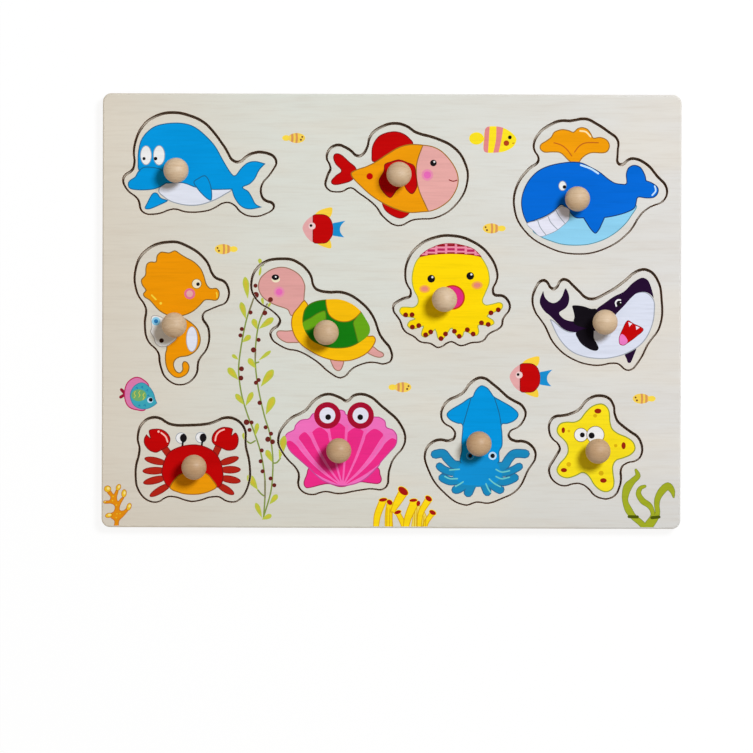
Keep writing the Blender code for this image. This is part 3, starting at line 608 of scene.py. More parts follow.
def draw_vines():
    """Two leafy stems with berries. They run on over the cuts of the turtle, the crab and the shell."""
    stems = [
        [(-71.5, 6.3), (-75, -4), (-77.5, -16), (-79, -27), (-79, -34), (-77.5, -44), (-74.5, -54),
            (-71, -63), (-67.5, -74), (-65.5, -86), (-65.3, -96), (-66, -107.5)],
        [(-64.5, 3.5), (-68.5, -6), (-70.3, -17), (-70.5, -28), (-69, -40), (-65.9, -54), (-63, -63.5),
            (-61.5, -74), (-61.3, -83), (-62.3, -94), (-65.7, -106)],
        [(-75, -67.5), (-73, -68.8), (-70.5, -67.5)], [(-69, -93), (-67.5, -94.8), (-66, -96)],
        [(-61.3, -79), (-59.3, -78.8), (-57.4, -76.5)], [(-68.8, -26.7), (-70.3, -27.2)],
    ]
    brown_stems = [[(-71.5, 6.3), (-73.6, 0)], [(-64.5, 3.5), (-67.3, -3)], [(-65.4, -88), (-65.3, -97)],
        [(-70.4, -20), (-70.6, -25)]]
    leaves = [
        ((-74.5, 6), (-76, 17), 1.5), ((-75.5, -4.5), (-78, 4), 1.4), ((-77.3, -16.5), (-73.2, -13), 1.3),
        ((-79.3, -25.5), (-82.5, -23), 0.9), ((-79.3, -36), (-84.5, -30), 1.6),
        ((-76.2, -49), (-80.5, -43.5), 1.3), ((-75.5, -49.5), (-72, -42.5), 1.3),
        ((-69.7, -9.8), (-71.7, -4.5), 1.4), ((-68.8, -9.5), (-61.5, -4), 1.5),
        ((-70.3, -30), (-74, -25), 1.4), ((-69, -26), (-62.7, -21), 0.9),
        ((-67.7, -39.5), (-61.5, -31), 1.8), ((-65, -54), (-61, -45), 1.8),
        ((-70.5, -65), (-69.3, -58.5), 1.1), ((-75.3, -68.5), (-76.5, -63.5), 1.0),
        ((-69, -93), (-74, -85.5), 1.8), ((-61.7, -78.5), (-64.5, -72.5), 1.4),
        ((-58, -77.5), (-55.4, -65.3), 1.7), ((-63, -100.5), (-59, -95.5), 1.3),
        ((-66.8, -107.5), (-70, -100), 1.2), ((-67, -108.3), (-62, -106), 1.2),
        ((-67.4, 23.2), (-68.7, 26.8), 0.9), ((-67.6, 23.5), (-68.6, 18.3), 0.6),
        ((-66.5, 2.5), (-67.2, 6.5), 0.7), ((-64.5, 1.0), (-62.8, 4), 0.6),
    ]
    berries = [
        (-70.6, 12.9, 1.1), (-70.4, 8.1, 1.6), (-62.8, 5.7, 1.3), (-73.1, -1, 1.1), (-65.7, -1.2, 1.3),
        (-77.6, -9.6, 1.1), (-78.3, -12.9, 1.1), (-68.9, -15.2, 1.1), (-71.5, -20.4, 1.4),
        (-77.7, -30.2, 1.3), (-78, -35, 1.3), (-68.8, -36, 1.1), (-70.2, -37.4, 1.1), (-68.2, -47.8, 1.2),
        (-75, -57.9, 1.5), (-72.4, -58, 1.1), (-73.4, -61.9, 1.1), (-65.1, -60.5, 1.1), (-62.3, -63.8, 1.1),
        (-63.9, -66.7, 1.4), (-61.5, -68, 1.3), (-67.1, -72.5, 1.1), (-67.6, -78.1, 1.1),
        (-66.6, -83.3, 1.1), (-62.4, -87, 1.1), (-60.5, -90.5, 1.1),
    ]
    return [
        *each(lambda path: stroke(path, 0.4, "stem"), stems),
        *each(lambda path: stroke(path, 0.4, "stem_brown"), brown_stems),
        *each(lambda row: leaf(*row), leaves), *each(lambda berry: dot("berry", *berry), berries),
        *dot("sprout", -67.4, 23.8, 1.4, 0.9, 15),
    ]


def draw_coral():
    """A small branching coral with round bulbs."""
    trunk = smooth([(-143.8, -113.5), (-143.3, -109.5), (-145.2, -107.8), (-146, -105.6), (-143.8, -104.4),
        (-143.2, -101.8), (-145, -100.4), (-148.6, -100.3), (-148.8, -98.8), (-146, -98.5), (-145.5, -96.8),
        (-147.2, -94.6), (-145.4, -93.4), (-143.7, -95.4), (-142.8, -93.4), (-141.2, -93.6), (-142, -97),
        (-141.5, -99), (-139.8, -97.2), (-138, -96.6), (-140.2, -101), (-140.5, -103.6), (-138.6, -103.8),
        (-136.8, -102.2), (-135.8, -103.4), (-138.4, -106.8), (-140.8, -109.4), (-141.2, -113.5)])
    regions = lined(trunk, "coral", "coral_line", 0.35)
    for x, y, rx, ry, turn in ((-146.9, -92.7, 1.9, 1.8, 0), (-141.3, -91.9, 1.3, 1.9, -25),
            (-138.4, -95, 1.4, 2.2, -8), (-135.8, -101.9, 1.3, 2.1, -20), (-146.2, -106.4, 2.0, 1.3, 15),
            (-148.4, -99.5, 0.8, 0.7, 0)):
        regions += lined(oval(x, y, rx, ry, turn), "bulb", "coral_line", 0.3)
        regions += dot("bulb_pale", x + 0.3, y + 0.3, rx * 0.4, ry * 0.4, turn)
    dots = [(-144.1, -96.6), (-144.3, -98.8), (-142.3, -101), (-142, -105.6), (-142.4, -107.6),
        (-140.4, -105.4)]
    return regions + each(lambda place: dot("bulb", *place, 0.38), dots)


def draw_sponge():
    """A cluster of yellow tubes with dark red mouths."""
    pale = smooth([(11, -113.5), (11.2, -107), (12, -102), (14.5, -100.5), (16.5, -102.5), (18.6, -106.5),
        (18.5, -110), (17.5, -113.5)])
    tubes = [([(-0.9, -113.5, 2.3), (-1.2, -106, 2.0), (-0.7, -100, 1.7)], (-0.7, -99.2, 1.6, 1.2, -35)),
        ([(-7.8, -113.5, 1.4), (-7, -106, 1.9), (-4.4, -99, 2.0)], (-4.1, -97.9, 2.1, 0.9, 8)),
        ([(1, -103.5, 1.3), (3.4, -99, 2.1), (6.1, -94.4, 2.5)], (6.3, -93.3, 2.9, 1.7, -38)),
        ([(17, -113.5, 1.3), (18.6, -109, 1.4), (21.2, -105.2, 1.5)], (21.6, -104.4, 1.8, 1.1, -28)),
        ([(14.6, -113.5, 1.2), (15.4, -105, 1.6), (19, -98.4, 1.9)], (19.5, -97.2, 1.9, 1.2, -38)),
        ([(7.2, -113.5, 1.2), (5.8, -109, 1.5), (3.8, -105.2, 1.4)], (3.5, -104.3, 1.8, 0.9, 18)),
        ([(7.6, -113.5, 1.5), (8.9, -107, 2.0), (12, -99.6, 2.4)], (11.6, -98.1, 2.0, 0.8, 5))]
    regions = lined(pale, "sponge_pale", "sponge_side", 0.35)
    for path, (x, y, rx, ry, turn) in tubes:
        regions += stroke(path, 0.0, "sponge_side")
        regions += stroke(path, -0.45, "sponge")
        regions += dot("sponge", x, y, rx + 0.35, ry + 0.35, turn)
        regions += dot("sponge_mouth", x, y, rx, ry, turn)
    regions += dot("sponge_mouth", 14.2, -99.7, 1.0, 1.4, -10)
    for x, low, high in ((-2.2, -112.4, -102), (-0.7, -112.4, -102.5), (0.6, -112.4, -104),
            (12.2, -112.4, -103.5), (13.3, -112.4, -102.5), (16.9, -112.4, -106.5), (17.9, -112.4, -108)):
        regions += stroke([(x, low), (x + 0.2, high)], 0.22, "sponge_side")
    return regions


def draw_weed():
    """Three olive ribbons of weed with dark joints."""
    ribbons = [
        [(126.9, -82, 0.6), (127.9, -85, 1.3), (125.4, -87.6, 1.5), (122.7, -90.8, 2.1), (121.5, -94.9, 1.7),
            (121.5, -98.5, 1.4), (123.2, -102.7, 1.8), (125.8, -106.3, 1.5), (129.5, -109.4, 1.5),
            (133, -113, 1.5)], [(131.6, -90.4, 0.7), (129.3, -91.4, 1.0), (128.3, -94.4, 1.3),
            (130.5, -98, 1.5), (133.6, -100.1, 1.4), (135.3, -102.7, 1.1), (135.6, -105.8, 1.0),
            (133.1, -110, 1.4), (132.6, -113, 1.4)],
        [(146.5, -96, 0.4), (145.8, -92.8, 1.3), (143.5, -90.3, 1.8), (140.4, -92.8, 1.8),
            (138.3, -96.5, 1.5), (137.8, -100.1, 1.3), (138.2, -104.2, 1.2), (136.8, -107.4, 1.5),
            (133, -113, 1.6)],
    ]
    joints = [[(123.4, -106.2), (127.8, -106.3)], [(135.2, -106.7), (139, -106.3)]]
    return [
        *each(lambda path: stroke(path, 0.15, "weed_line"), ribbons),
        *each(lambda path: stroke(path, -0.15, "weed"), ribbons),
        *each(lambda path: stroke(path, 0.8, "weed_joint"), joints),
    ]


def small_fish(x, y, facing):
    """A small striped fish, facing right (1) or left (-1)."""
    regions = dot("reef_tail", x - facing * 5.4, y, 2.1, 1.5)
    body = oval(x, y, 4.4, 2.6)
    regions += fill(body, "reef")
    for along, half in ((-0.2, 0.55), (-2.5, 0.6)):
        middle = x + facing * along
        stripe = [(middle, y - 3), (middle + 0.3, y), (middle, y + 3)]
        regions += stroke(stripe, half, "reef_stripe", body)
    regions += dot("reef_brown", x + facing * 2.9, y + 0.6, 0.5)
    return regions + dot("reef_brown", x + facing * 2.2, y - 0.9, 0.55)


def draw_yellow_fish():
    """The larger striped fish over the whale's tail."""
    body = smooth([(47.4, 89), (48.3, 94.6), (50.2, 95.8), (53.7, 95.9), (57.7, 95.1), (61.6, 92.9),
        (64.1, 90.2), (64.3, 88.1), (62.5, 85.2), (58.2, 82.9), (53.7, 82.3), (49.5, 82.2), (47.5, 83.5)])
    regions = dot("reef_yellow", 43.7, 89.6, 3.8, 3.2) + fill(body, "reef_yellow")
    for path in ([(49.4, 97, 1.2), (48.9, 89, 1.2), (48.3, 81, 1.3)],
            [(55.9, 97, 1.9), (55.2, 89, 1.4), (53.5, 81, 1.3)]):
        regions += stroke(path, 0.0, "reef_pink", body)
    regions += dot("reef_cheek", 59.2, 87.2, 1.45) + dot("black", 61.0, 90.2, 1.0)
    return regions + stroke([(62.4, 87.1), (63.3, 87.3)], 0.2, "reef_cheek")


def draw_red_fish(x, y):
    """A small fish with a pink face, a red body, yellow fins and a blue tail, about its middle."""
    face = smooth([(-2.6, 7), (-4.4, 6.4), (-6.6, 4.6), (-8.4, 1.8), (-8.4, -0.4), (-6.6, -3.8), (-4.4, -6),
        (-2.6, -6.8), (0, -4), (0, 4)])
    body = smooth([(-3.3, 7.3), (-2.2, 7.8), (2.8, 7.7), (5.7, 5.8), (7.1, 2.4), (7.3, -0.4), (6.7, -3.7),
        (4, -6.9), (0.8, -7.4), (-2.4, -7.3), (-3.3, -6.5), (-3.4, -3), (-3.4, 0), (-3.4, 4)])
    upper_fin = smooth([(-2.0, 6.8), (-1.2, 8.8), (1.8, 10.5), (6.7, 11.2), (5.2, 6)])
    lower_fin = smooth([(-1.2, -6.6), (1.2, -8.6), (6.2, -9.7), (5.0, -5)])
    tail = smooth([(6.5, 2.6), (10, 3.8), (13.6, 4.5), (13.6, 4.5), (11.5, 2.3), (10.8, 0.2), (11.2, -1.9),
        (13, -4.1), (13, -4.1), (9.4, -3.6), (6.5, -2.6)])
    regions = [
        *fill(upper_fin, "butter"), *fill(lower_fin, "butter"), *fill(tail, "sea_blue"),
        *fill(face, "mask_pink"), *lined(body, "red", "red_line", 0.45), *dot("eye_pink", -3.7, 1.7, 1.8),
        *dot("black", -4.2, 1.95, 0.75),
    ]
    return moved(regions, x, y)


def draw_green_fish():
    """The pink and turquoise fish at the left."""
    disc = smooth([(-138.6, -42.2), (-137.4, -37.6), (-134.6, -34.8), (-131.6, -34.0), (-128.6, -35.2),
        (-125.5, -38.6), (-126, -46), (-127.6, -51.4), (-132.3, -51.4), (-136, -50), (-138, -46.9)])
    face = smooth([(-135.5, -43.7), (-133.6, -39), (-129.4, -36.9), (-125.5, -39), (-123.1, -42.5),
        (-122.3, -45.3), (-121.3, -47.7), (-121.3, -47.7), (-123.3, -49.3), (-126.5, -50.7), (-130.2, -50.7),
        (-133.9, -48.5)])
    tips = [(-139.9, -40.7), (-140.3, -44.6)]
    regions = each(lambda tip: stroke([(-137.8, -43.1), tip], 0.8, "wine"), tips)
    regions += lined(disc, "fish_pink", "fish_crimson", 0.6) + lined(face, "turquoise", "fish_rim", 0.35)
    regions += fill(oval(-130.8, -43.6, 3.9, 3.1), "fish_green", 0.0, face)
    for x, high in ((-133, -41.6), (-130.6, -41.3), (-128.4, -42.5)):
        zigzag = [(x + 0.35, high), (x - 0.35, high - 1.1), (x + 0.35, high - 2.2), (x - 0.35, high - 3.3)]
        regions += stroke(zigzag, 0.16, "zigzag")
    for x, y in ((-131.8, -39.4), (-129, -39), (-126.4, -40.6), (-130.4, -48.6), (-127.6, -48.4),
            (-125.8, -43.4)):
        regions += stroke([(x - 0.7, y - 0.5), (x, y), (x + 0.2, y - 0.9)], 0.2, "scale_blue")
    regions += dot("glint", -125, -46.1, 1.5) + dot("black", -124.7, -45.9, 1.05)
    return moved(regions, 0, -0.5)


def draw_board():
    """Every motif between the openings."""
    regions = draw_coral() + draw_sponge() + draw_weed() + draw_yellow_fish() + draw_green_fish()
    for x, y, facing in ((-49.5, 89.5, 1), (-87.4, 31.8, -1), (51.5, 43, -1), (6, -39.5, 1),
            (129.5, -45, -1)):
        regions += small_fish(x, y, facing)
    return regions + draw_red_fish(-37.7, 42.2) + draw_red_fish(69.9, -34.65)


def crossings(points, starts, ends):
    """Which points lie inside the outline that the edges make."""
    inside = np.zeros(len(points), bool)
    for (ax, ay), (bx, by) in zip(starts, ends):
        if ay == by:
            continue
        between_ends = (ay > points[:, 1]) != (by > points[:, 1])
        inside ^= between_ends & (points[:, 0] < (bx - ax) * (points[:, 1] - ay) / (by - ay) + ax)
    return inside


def holds(points, shape):
    """Which points lie inside a closed shape."""
    shape = np.array(shape)
    low, high = shape.min(0), shape.max(0)
    near = ((points >= low) & (points <= high)).all(1)
    result = np.zeros(len(points), bool)
    result[near] = crossings(points[near], shape, np.roll(shape, -1, 0))
    return result


def line_distance(points, path, closed, halves=None):
    """How far the points lie from a line, less the line's own half width."""
    best = np.full(len(points), 1e9)
    count = len(path)
    for i in range(count if closed else count - 1):
        a, b = np.array(path[i]), np.array(path[(i + 1) % count])
        run = b - a
        square = max(1e-12, run @ run)
        t = np.clip(((points - a) @ run) / square, 0, 1)
        reach = np.hypot(*(points - a - t[:, None] * run).T)
        if halves:
            reach = reach - (halves[i] + (halves[min(i + 1, count - 1)] - halves[i]) * t)
        best = np.minimum(best, reach)
    return best


def covers(points, region):
    """Which points a region paints."""
    shape = np.array(region["shape"])
    margin = max(region["halves"]) if region["halves"] else 0.0
    near = ((points >= shape.min(0) - margin) & (points <= shape.max(0) + margin)).all(1)
    chosen = points[near]
    if region["halves"]:
        hit = line_distance(chosen, region["shape"], False, region["halves"]) < 0
    else:
        hit = holds(chosen, region["shape"])
        if region["inset"]:
            hit &= line_distance(chosen, region["shape"], True) > region["inset"]
    if region["within"]:
        hit &= holds(chosen, region["within"])
    result = np.zeros(len(points), bool)
    result[near] = hit
    return result


def border(region):
    """The line that bounds what a region paints."""
    if region["halves"]:
        return band(region["shape"], region["halves"])
    return offset(region["shape"], -region["inset"]) if region["inset"] else region["shape"]


def triangulate(loops):
    """Triangles between closed lines, as points and corner numbers, counter-clockwise."""
    points, edges = [], []
    for loop in loops:
        start = len(points)
        points += [Vector(p) for p in loop]
        edges += [(start + i, start + (i + 1) % len(loop)) for i in range(len(loop))]
    verts, _, faces, _, _, _ = geometry.delaunay_2d_cdt(points, edges, [], 0, MERGE, False)
    verts = np.array([tuple(v) for v in verts])
    triangles = []
    for face in faces:
        a, b, c = (verts[i] for i in face)
        turn = (b[0] - a[0]) * (c[1] - a[1]) - (b[1] - a[1]) * (c[0] - a[0])
        if abs(turn) > 1e-9:
            triangles.append(tuple(face) if turn > 0 else tuple(face[::-1]))
    return verts, triangles


def printed_face(outer, holes, regions, bare):
    """A flat face cut along every line of its drawing, with each triangle's ink."""
    low, high = np.array(outer).min(0), np.array(outer).max(0)
    shown = []
    for region in regions:
        shape = np.array(region["shape"])
        if (shape.max(0) > low - MOTIF_MARGIN).all() and (shape.min(0) < high + MOTIF_MARGIN).all():
            shown.append(region)
    verts, triangles = triangulate([outer, *holes, *[border(region) for region in shown]])
    middles = verts[np.array(triangles)].mean(1)
    kept = holds(middles, outer)
    for hole in holes:
        kept &= ~holds(middles, hole)
    inks = np.full(len(triangles), bare, dtype=object)
    for region in shown:
        inks[covers(middles, region)] = region["ink"]
    triangles = [t for t, keep in zip(triangles, kept) if keep]
    return verts, triangles, list(inks[kept])


def open_edges(triangles):
    """The directed edges that belong to one triangle only."""
    seen = {}
    for a, b, c in triangles:
        for edge in ((a, b), (b, c), (c, a)):
            seen[edge] = True
    return [edge for edge in seen if (edge[1], edge[0]) not in seen]


class Shape:
    """Corners and faces of one piece, in millimetres."""

    def __init__(self):
        self.corners = []
        self.faces = []

    def add(self, points):
        """Adds corners and returns their numbers."""
        start = len(self.corners)
        self.corners += [tuple(p) for p in points]
        return list(range(start, len(self.corners)))

    def face(self, corners, ink, curved=False):
        """Adds one face."""
        self.faces.append((tuple(corners), ink, curved))

    def rings(self, rings, inks, curved=True):
        """Joins rings of corners, each closed, by strips of faces."""
        for (low, high), ink in zip(zip(rings, rings[1:]), inks):
            for i in range(len(low)):
                j = (i + 1) % len(low)
                self.face((low[i], low[j], high[j], high[i]), ink, curved)

    def build(self, name):
        """Makes the object, with one material slot for each ink."""
        mesh = bpy.data.meshes.new(name)
        bm = bmesh.new()
        corners = [bm.verts.new([v * MM for v in corner]) for corner in self.corners]
        names = list(dict.fromkeys(ink for _, ink, _ in self.faces))
        for numbers, ink, curved in self.faces:
            numbers = list(dict.fromkeys(numbers))
            if len(numbers) < 3:
                continue
            try:
                face = bm.faces.new([corners[i] for i in numbers])
            except ValueError:
                continue
            face.material_index = names.index(ink)
            face.smooth = curved
        bmesh.ops.remove_doubles(bm, verts=bm.verts, dist=WELD)
        loose = [vert for vert in bm.verts if not vert.link_faces]
        bmesh.ops.delete(bm, geom=loose, context="VERTS")
        bmesh.ops.recalc_face_normals(bm, faces=bm.faces)
        for edge in bm.edges:
            if len(edge.link_faces) == 2 and edge.calc_face_angle(0) > SHARP_EDGE:
                edge.smooth = False
        bm.to_mesh(mesh)
        bm.free()
        for ink in names:
            mesh.materials.append(material(ink))
        piece = bpy.data.objects.new(name, mesh)
        bpy.context.collection.objects.link(piece)
        return piece


def slab(shape, face, rim_at, wells=()):
    """A flat piece from its printed face. rim_at gives a place's edge steps (outward, height) and inks."""
    verts, triangles, colours = face
    edges = open_edges(triangles)
    steps, _ = rim_at(*verts[edges[0][0]])
    top, low = steps[0][1], steps[-1][1]
    for triangle, ink in zip(triangles, colours):
        shape.face(shape.add([(*verts[i], top) for i in triangle]), ink)
    ends = add_rim(shape, verts, edges, rim_at)
    add_underside(shape, [(ends[a], ends[b]) for a, b in edges], low, wells)
    for x, y, hollow in wells:
        first = hollow[0][0]
        rings = [shape.add([(*p, z) for p in circle_like(x, y, radius, first)]) for radius, z in hollow]
        shape.rings(rings, ["burnt"] * (len(rings) - 1))
        shape.face(rings[-1], "burnt")


def add_rim(shape, verts, edges, rim_at):
    """Adds the edge faces all round a flat piece, and returns where each corner ends below."""
    sides = {}
    for a, b in edges:
        run = verts[b] - verts[a]
        side = np.array([run[1], -run[0]]) / max(1e-9, np.hypot(*run))
        for end in (a, b):
            sides.setdefault(end, []).append(side)
    numbers, ends = {}, {}
    for corner, found in sides.items():
        total = sum(found)
        unit = total / max(0.3, np.hypot(*total))
        way = unit / max(0.6, float(unit @ found[0]))
        steps, _ = rim_at(*verts[corner])
        numbers[corner] = shape.add([(*(verts[corner] + way * out), height) for out, height in steps])
        ends[corner] = verts[corner] + way * steps[-1][0]
    for a, b in edges:
        for k, ink in enumerate(rim_at(*verts[a])[1]):
            corners = (numbers[a][k], numbers[b][k], numbers[b][k + 1], numbers[a][k + 1])
            shape.face(corners, ink, curved=True)
    return ends


def add_underside(shape, lines, low, wells):
    """Adds the flat underside within the lines, open at each well."""
    points, joins = [], []
    circles = [oval(x, y, hollow[0][0]) for x, y, hollow in wells]
    for start, end in lines:
        points += [Vector(start), Vector(end)]
        joins.append((len(points) - 2, len(points) - 1))
    for circle in circles:
        first = len(points)
        points += [Vector(p) for p in circle]
        joins += [(first + i, first + (i + 1) % len(circle)) for i in range(len(circle))]
    flat, _, faces, _, _, _ = geometry.delaunay_2d_cdt(points, joins, [], 0, MERGE, False)
    flat = np.array([tuple(v) for v in flat])
    middles = flat[np.array([tuple(f) for f in faces])].mean(1)
    kept = crossings(middles, [start for start, _ in lines], [end for _, end in lines])
    for circle in circles:
        kept &= ~holds(middles, circle)
    for corners, keep in zip(faces, kept):
        if keep:
            shape.face(shape.add([(*flat[i], low) for i in corners]), "under")


def circle_like(x, y, radius, first):
    """A circle with as many corners as the oval of the first radius."""
    return [(x + (px - x) * radius / first, y + (py - y) * radius / first) for px, py in oval(x, y, first)]


def on_circle(x, y, radius, k, count):
    """Corner k of a circle that has as many corners as the count."""
    angle = 2 * math.pi * k / count
    return (x + radius * math.cos(angle), y + radius * math.sin(angle))


def lathe(shape, profile, x, y, ink):
    """A turned form about a vertical line, from (radius, height) steps. A radius of 0 closes an end."""
    rings = []
    for radius, height in profile:
        count = KNOB_SEGMENTS if radius > 0 else 1
        rings.append(shape.add([(*on_circle(x, y, radius, k, KNOB_SEGMENTS), height) for k in range(count)]))
    for low, high in zip(rings, rings[1:]):
        for k in range(KNOB_SEGMENTS):
            n = (k + 1) % KNOB_SEGMENTS
            corners = [low[k % len(low)], low[n % len(low)], high[n % len(high)], high[k % len(high)]]
            shape.face(corners, ink, curved=True)


def rim_loops(node):
    """The outlines of a CAD node's flat top, in millimetres, smoothed through the node's own corners."""
    bm = bmesh.new()
    bm.from_mesh(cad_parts[node].data)
    bmesh.ops.remove_doubles(bm, verts=bm.verts, dist=WELD)
    top = max(vert.co.z for vert in bm.verts)
    flat = {f for f in bm.faces if f.normal.z > 0.99 and all(v.co.z > top - 1e-5 for v in f.verts)}
    neighbours = {}
    for edge in bm.edges:
        if len([f for f in edge.link_faces if f in flat]) == 1:
            a, b = edge.verts
            neighbours.setdefault(a, []).append(b)
            neighbours.setdefault(b, []).append(a)
    loops = []
    waiting = dict.fromkeys(sorted(neighbours, key=lambda vert: vert.index))
    while waiting:
        start = next(iter(waiting))
        loop, last, here = [start], None, start
        del waiting[start]
        while True:
            onward = [v for v in neighbours[here] if v is not last and v in waiting]
            if not onward:
                break
            last, here = here, onward[0]
            del waiting[here]
            loop.append(here)
        loops.append(smooth([(v.co.x / MM, v.co.y / MM) for v in loop], step=FINE_STEP))
    bm.free()
    return [turned_left(loop) for loop in loops]


def rounded_rectangle(low, high, radius, inset):
    """The board's outline, inset, with its corners as arcs."""
    outline = []
    arc = radius - inset
    for sx, sy, start in ((1, -1, -90), (1, 1, 0), (-1, 1, 90), (-1, -1, 180)):
        x = (high.x if sx > 0 else low.x) - sx * radius
        y = (high.y if sy > 0 else low.y) - sy * radius
        for k in range(9):
            angle = math.radians(start + 90 * k / 8)
            outline.append((x + arc * math.cos(angle), y + arc * math.sin(angle)))
    return outline


def round_over(radius, top, bottom):
    """Profile steps for a rounded upper edge, a straight wall and a small chamfer below."""
    steps = []
    for degrees in (0, 25, 50, 70, 90):
        angle = math.radians(degrees)
        steps.append((radius * math.sin(angle), top - radius * (1 - math.cos(angle))))
    return [*steps, (radius, bottom + CHAMFER), (radius - CHAMFER, bottom)]


def linear(colour):
    """A display colour, 0 to 255, as the light that a shader takes."""
    parts = [c / 255 for c in colour]
    return (*[c / 12.92 if c <= 0.04045 else ((c + 0.055) / 1.055) ** 2.4 for c in parts], 1.0)


class Nodes:
    """Short ways to put a material together."""

    def __init__(self, name):
        self.material = bpy.data.materials.new(name)
        self.material.use_nodes = True
        self.tree = self.material.node_tree
        self.shader = self.tree.nodes["Principled BSDF"]
        self.place = self.new("ShaderNodeTexCoord").outputs["Object"]

    def new(self, kind, **settings):
        """A node of one kind with its settings."""
        node = self.tree.nodes.new(kind)
        for key, value in settings.items():
            setattr(node, key, value)
        return node

    def link(self, source, target):
        """Joins an output to an input."""
        self.tree.links.new(source, target)

    def noise(self, scale, detail):
        """Noise with its own scale along each axis, per metre."""
        mapping = self.new("ShaderNodeMapping")
        mapping.inputs["Scale"].default_value = scale
        self.link(self.place, mapping.inputs["Vector"])
        noise = self.new("ShaderNodeTexNoise")
        noise.inputs["Scale"].default_value = 1.0
        noise.inputs["Detail"].default_value = detail
        noise.inputs["Roughness"].default_value = 0.55
        self.link(mapping.outputs["Vector"], noise.inputs["Vector"])
        return noise.outputs["Fac"]

    def span(self, source, from_low, from_high, low, high):
        """The source stretched from one span to another."""
        node = self.new("ShaderNodeMapRange")
        values = {"From Min": from_low, "From Max": from_high, "To Min": low, "To Max": high}
        for key, value in values.items():
            node.inputs[key].default_value = value
        self.link(source, node.inputs["Value"])
        return node.outputs["Result"]

    def blend(self, share, a, b):
        """Colour a turning into colour b with the share. Each is a colour or a socket."""
        node = self.new("ShaderNodeMix", data_type="RGBA")
        self.link(share, node.inputs["Factor"])
        for key, colour in (("A", a), ("B", b)):
            socket = [s for s in node.inputs if s.name == key and s.type == "RGBA"][0]
            if isinstance(colour, tuple):
                socket.default_value = linear(colour)
            else:
                self.link(colour, socket)
        return [s for s in node.outputs if s.type == "RGBA"][0]

    def stain(self, colour, source, low, high, share, other):
        """The colour, turned by up to a share into another one where the source rises from low to high."""
        return self.blend(self.span(source, low, high, 0.0, share), colour, other)

    def bump(self, source, strength, distance):
        """Fine relief from the source, with its depth in metres."""
        node = self.new("ShaderNodeBump")
        node.inputs["Strength"].default_value = strength
        node.inputs["Distance"].default_value = distance
        self.link(source, node.inputs["Height"])
        self.link(node.outputs["Normal"], self.shader.inputs["Normal"])

    def finish(self, colour, roughness, specular):
        """Sets the shader and gives the material."""
        self.link(colour, self.shader.inputs["Base Color"])
        self.link(roughness, self.shader.inputs["Roughness"])
        self.shader.inputs["Specular IOR Level"].default_value = specular
        return self.material


FIBRES = (55, 900, 900)
BANDS = (30, 300, 60)
WIDE_BANDS = (5, 26, 20)
BLUSHES = (11, 38, 20)
PLY = 0.0011


def tone(colour, factor):
    """A colour made lighter or darker."""
    return tuple(min(255, c * factor) for c in colour)


def face_wood(name, warm, middle, grey, dark, right_front_shade, contrast):
    """Sanded face of the plywood: grain along X, greyer at the right; the warmer, darker left and the darker
    front are painted shade.
    """
    n = Nodes(name)
    xyz = n.new("ShaderNodeSeparateXYZ")
    n.link(n.place, xyz.inputs["Vector"])
    left = n.span(xyz.outputs["X"], -0.15, -0.06, 0.0, 1.0)
    right = n.span(xyz.outputs["X"], -0.02, 0.15, 0.0, 1.0)
    # Painted shade: the left side turns to the warmer, darker colour, away from the light at the right; the
    # right turns grey.
    colour = n.blend(right, n.blend(left, warm, middle), grey)
    # Painted shade: the face darkens towards the front edge, to the dark colour at the left and the right
    # front shade colour at the right.
    colour = n.blend(n.span(xyz.outputs["Y"], -0.07, -0.112, 0.0, 0.3), colour, n.blend(right, dark, right_front_shade))
    wide = n.noise(WIDE_BANDS, 2.0)
    bands = n.noise(BANDS, 4.0)
    fibres = n.noise(FIBRES, 4.0)
    blushes = n.noise(BLUSHES, 2.0)
    colour = n.stain(colour, blushes, 0.5, 0.68, 0.4, tone(warm, 1.03))
    colour = n.stain(colour, wide, 0.5, 0.75, 0.4 * contrast, dark)
    colour = n.stain(colour, bands, 0.42, 0.8, 0.55 * contrast, dark)
    colour = n.stain(colour, fibres, 0.5, 0.8, 0.5 * contrast, tone(dark, 0.9))
    n.bump(fibres, 0.25, 0.00012)
    return n.finish(colour, n.span(bands, 0.3, 0.7, 0.5, 0.66), 0.3)


def edge_wood(name, pale, dark, thick, scorched):
    """Cut edge of the plywood, with its plies as layers in height."""
    n = Nodes(name)
    xyz = n.new("ShaderNodeSeparateXYZ")
    n.link(n.place, xyz.inputs["Vector"])
    wave = n.new("ShaderNodeMath", operation="PINGPONG")
    wave.inputs[1].default_value = thick
    n.link(xyz.outputs["Z"], wave.inputs[0])
    plies = n.span(wave.outputs[0], thick * 0.42, thick * 0.58, 0.0, 1.0)
    fibres = n.noise((160, 160, 2600), 4.0)
    patches = n.noise((90, 90, 260), 3.0)
    colour = n.blend(plies, pale, dark)
    colour = n.stain(colour, fibres, 0.45, 0.8, 0.6, tone(dark, 0.75))
    colour = n.stain(colour, patches, 0.4, 0.75, 0.7, scorched)
    n.bump(fibres, 0.3, 0.0002)
    return n.finish(colour, n.span(patches, 0.3, 0.7, 0.68, 0.85), 0.2)


def printed_ink(name, colour):
    """Ink on the sanded wood: nearly even, with the grain showing faintly through."""
    n = Nodes(name)
    fibres = n.noise(FIBRES, 4.0)
    bands = n.noise(BANDS, 3.0)
    mix = n.stain(colour, bands, 0.35, 0.75, 1.0, tone(colour, 0.96))
    mix = n.stain(mix, fibres, 0.5, 0.8, 0.5, tone(colour, 0.88))
    n.bump(fibres, 0.18, 0.0001)
    return n.finish(mix, n.span(bands, 0.3, 0.7, 0.55, 0.7), 0.03)


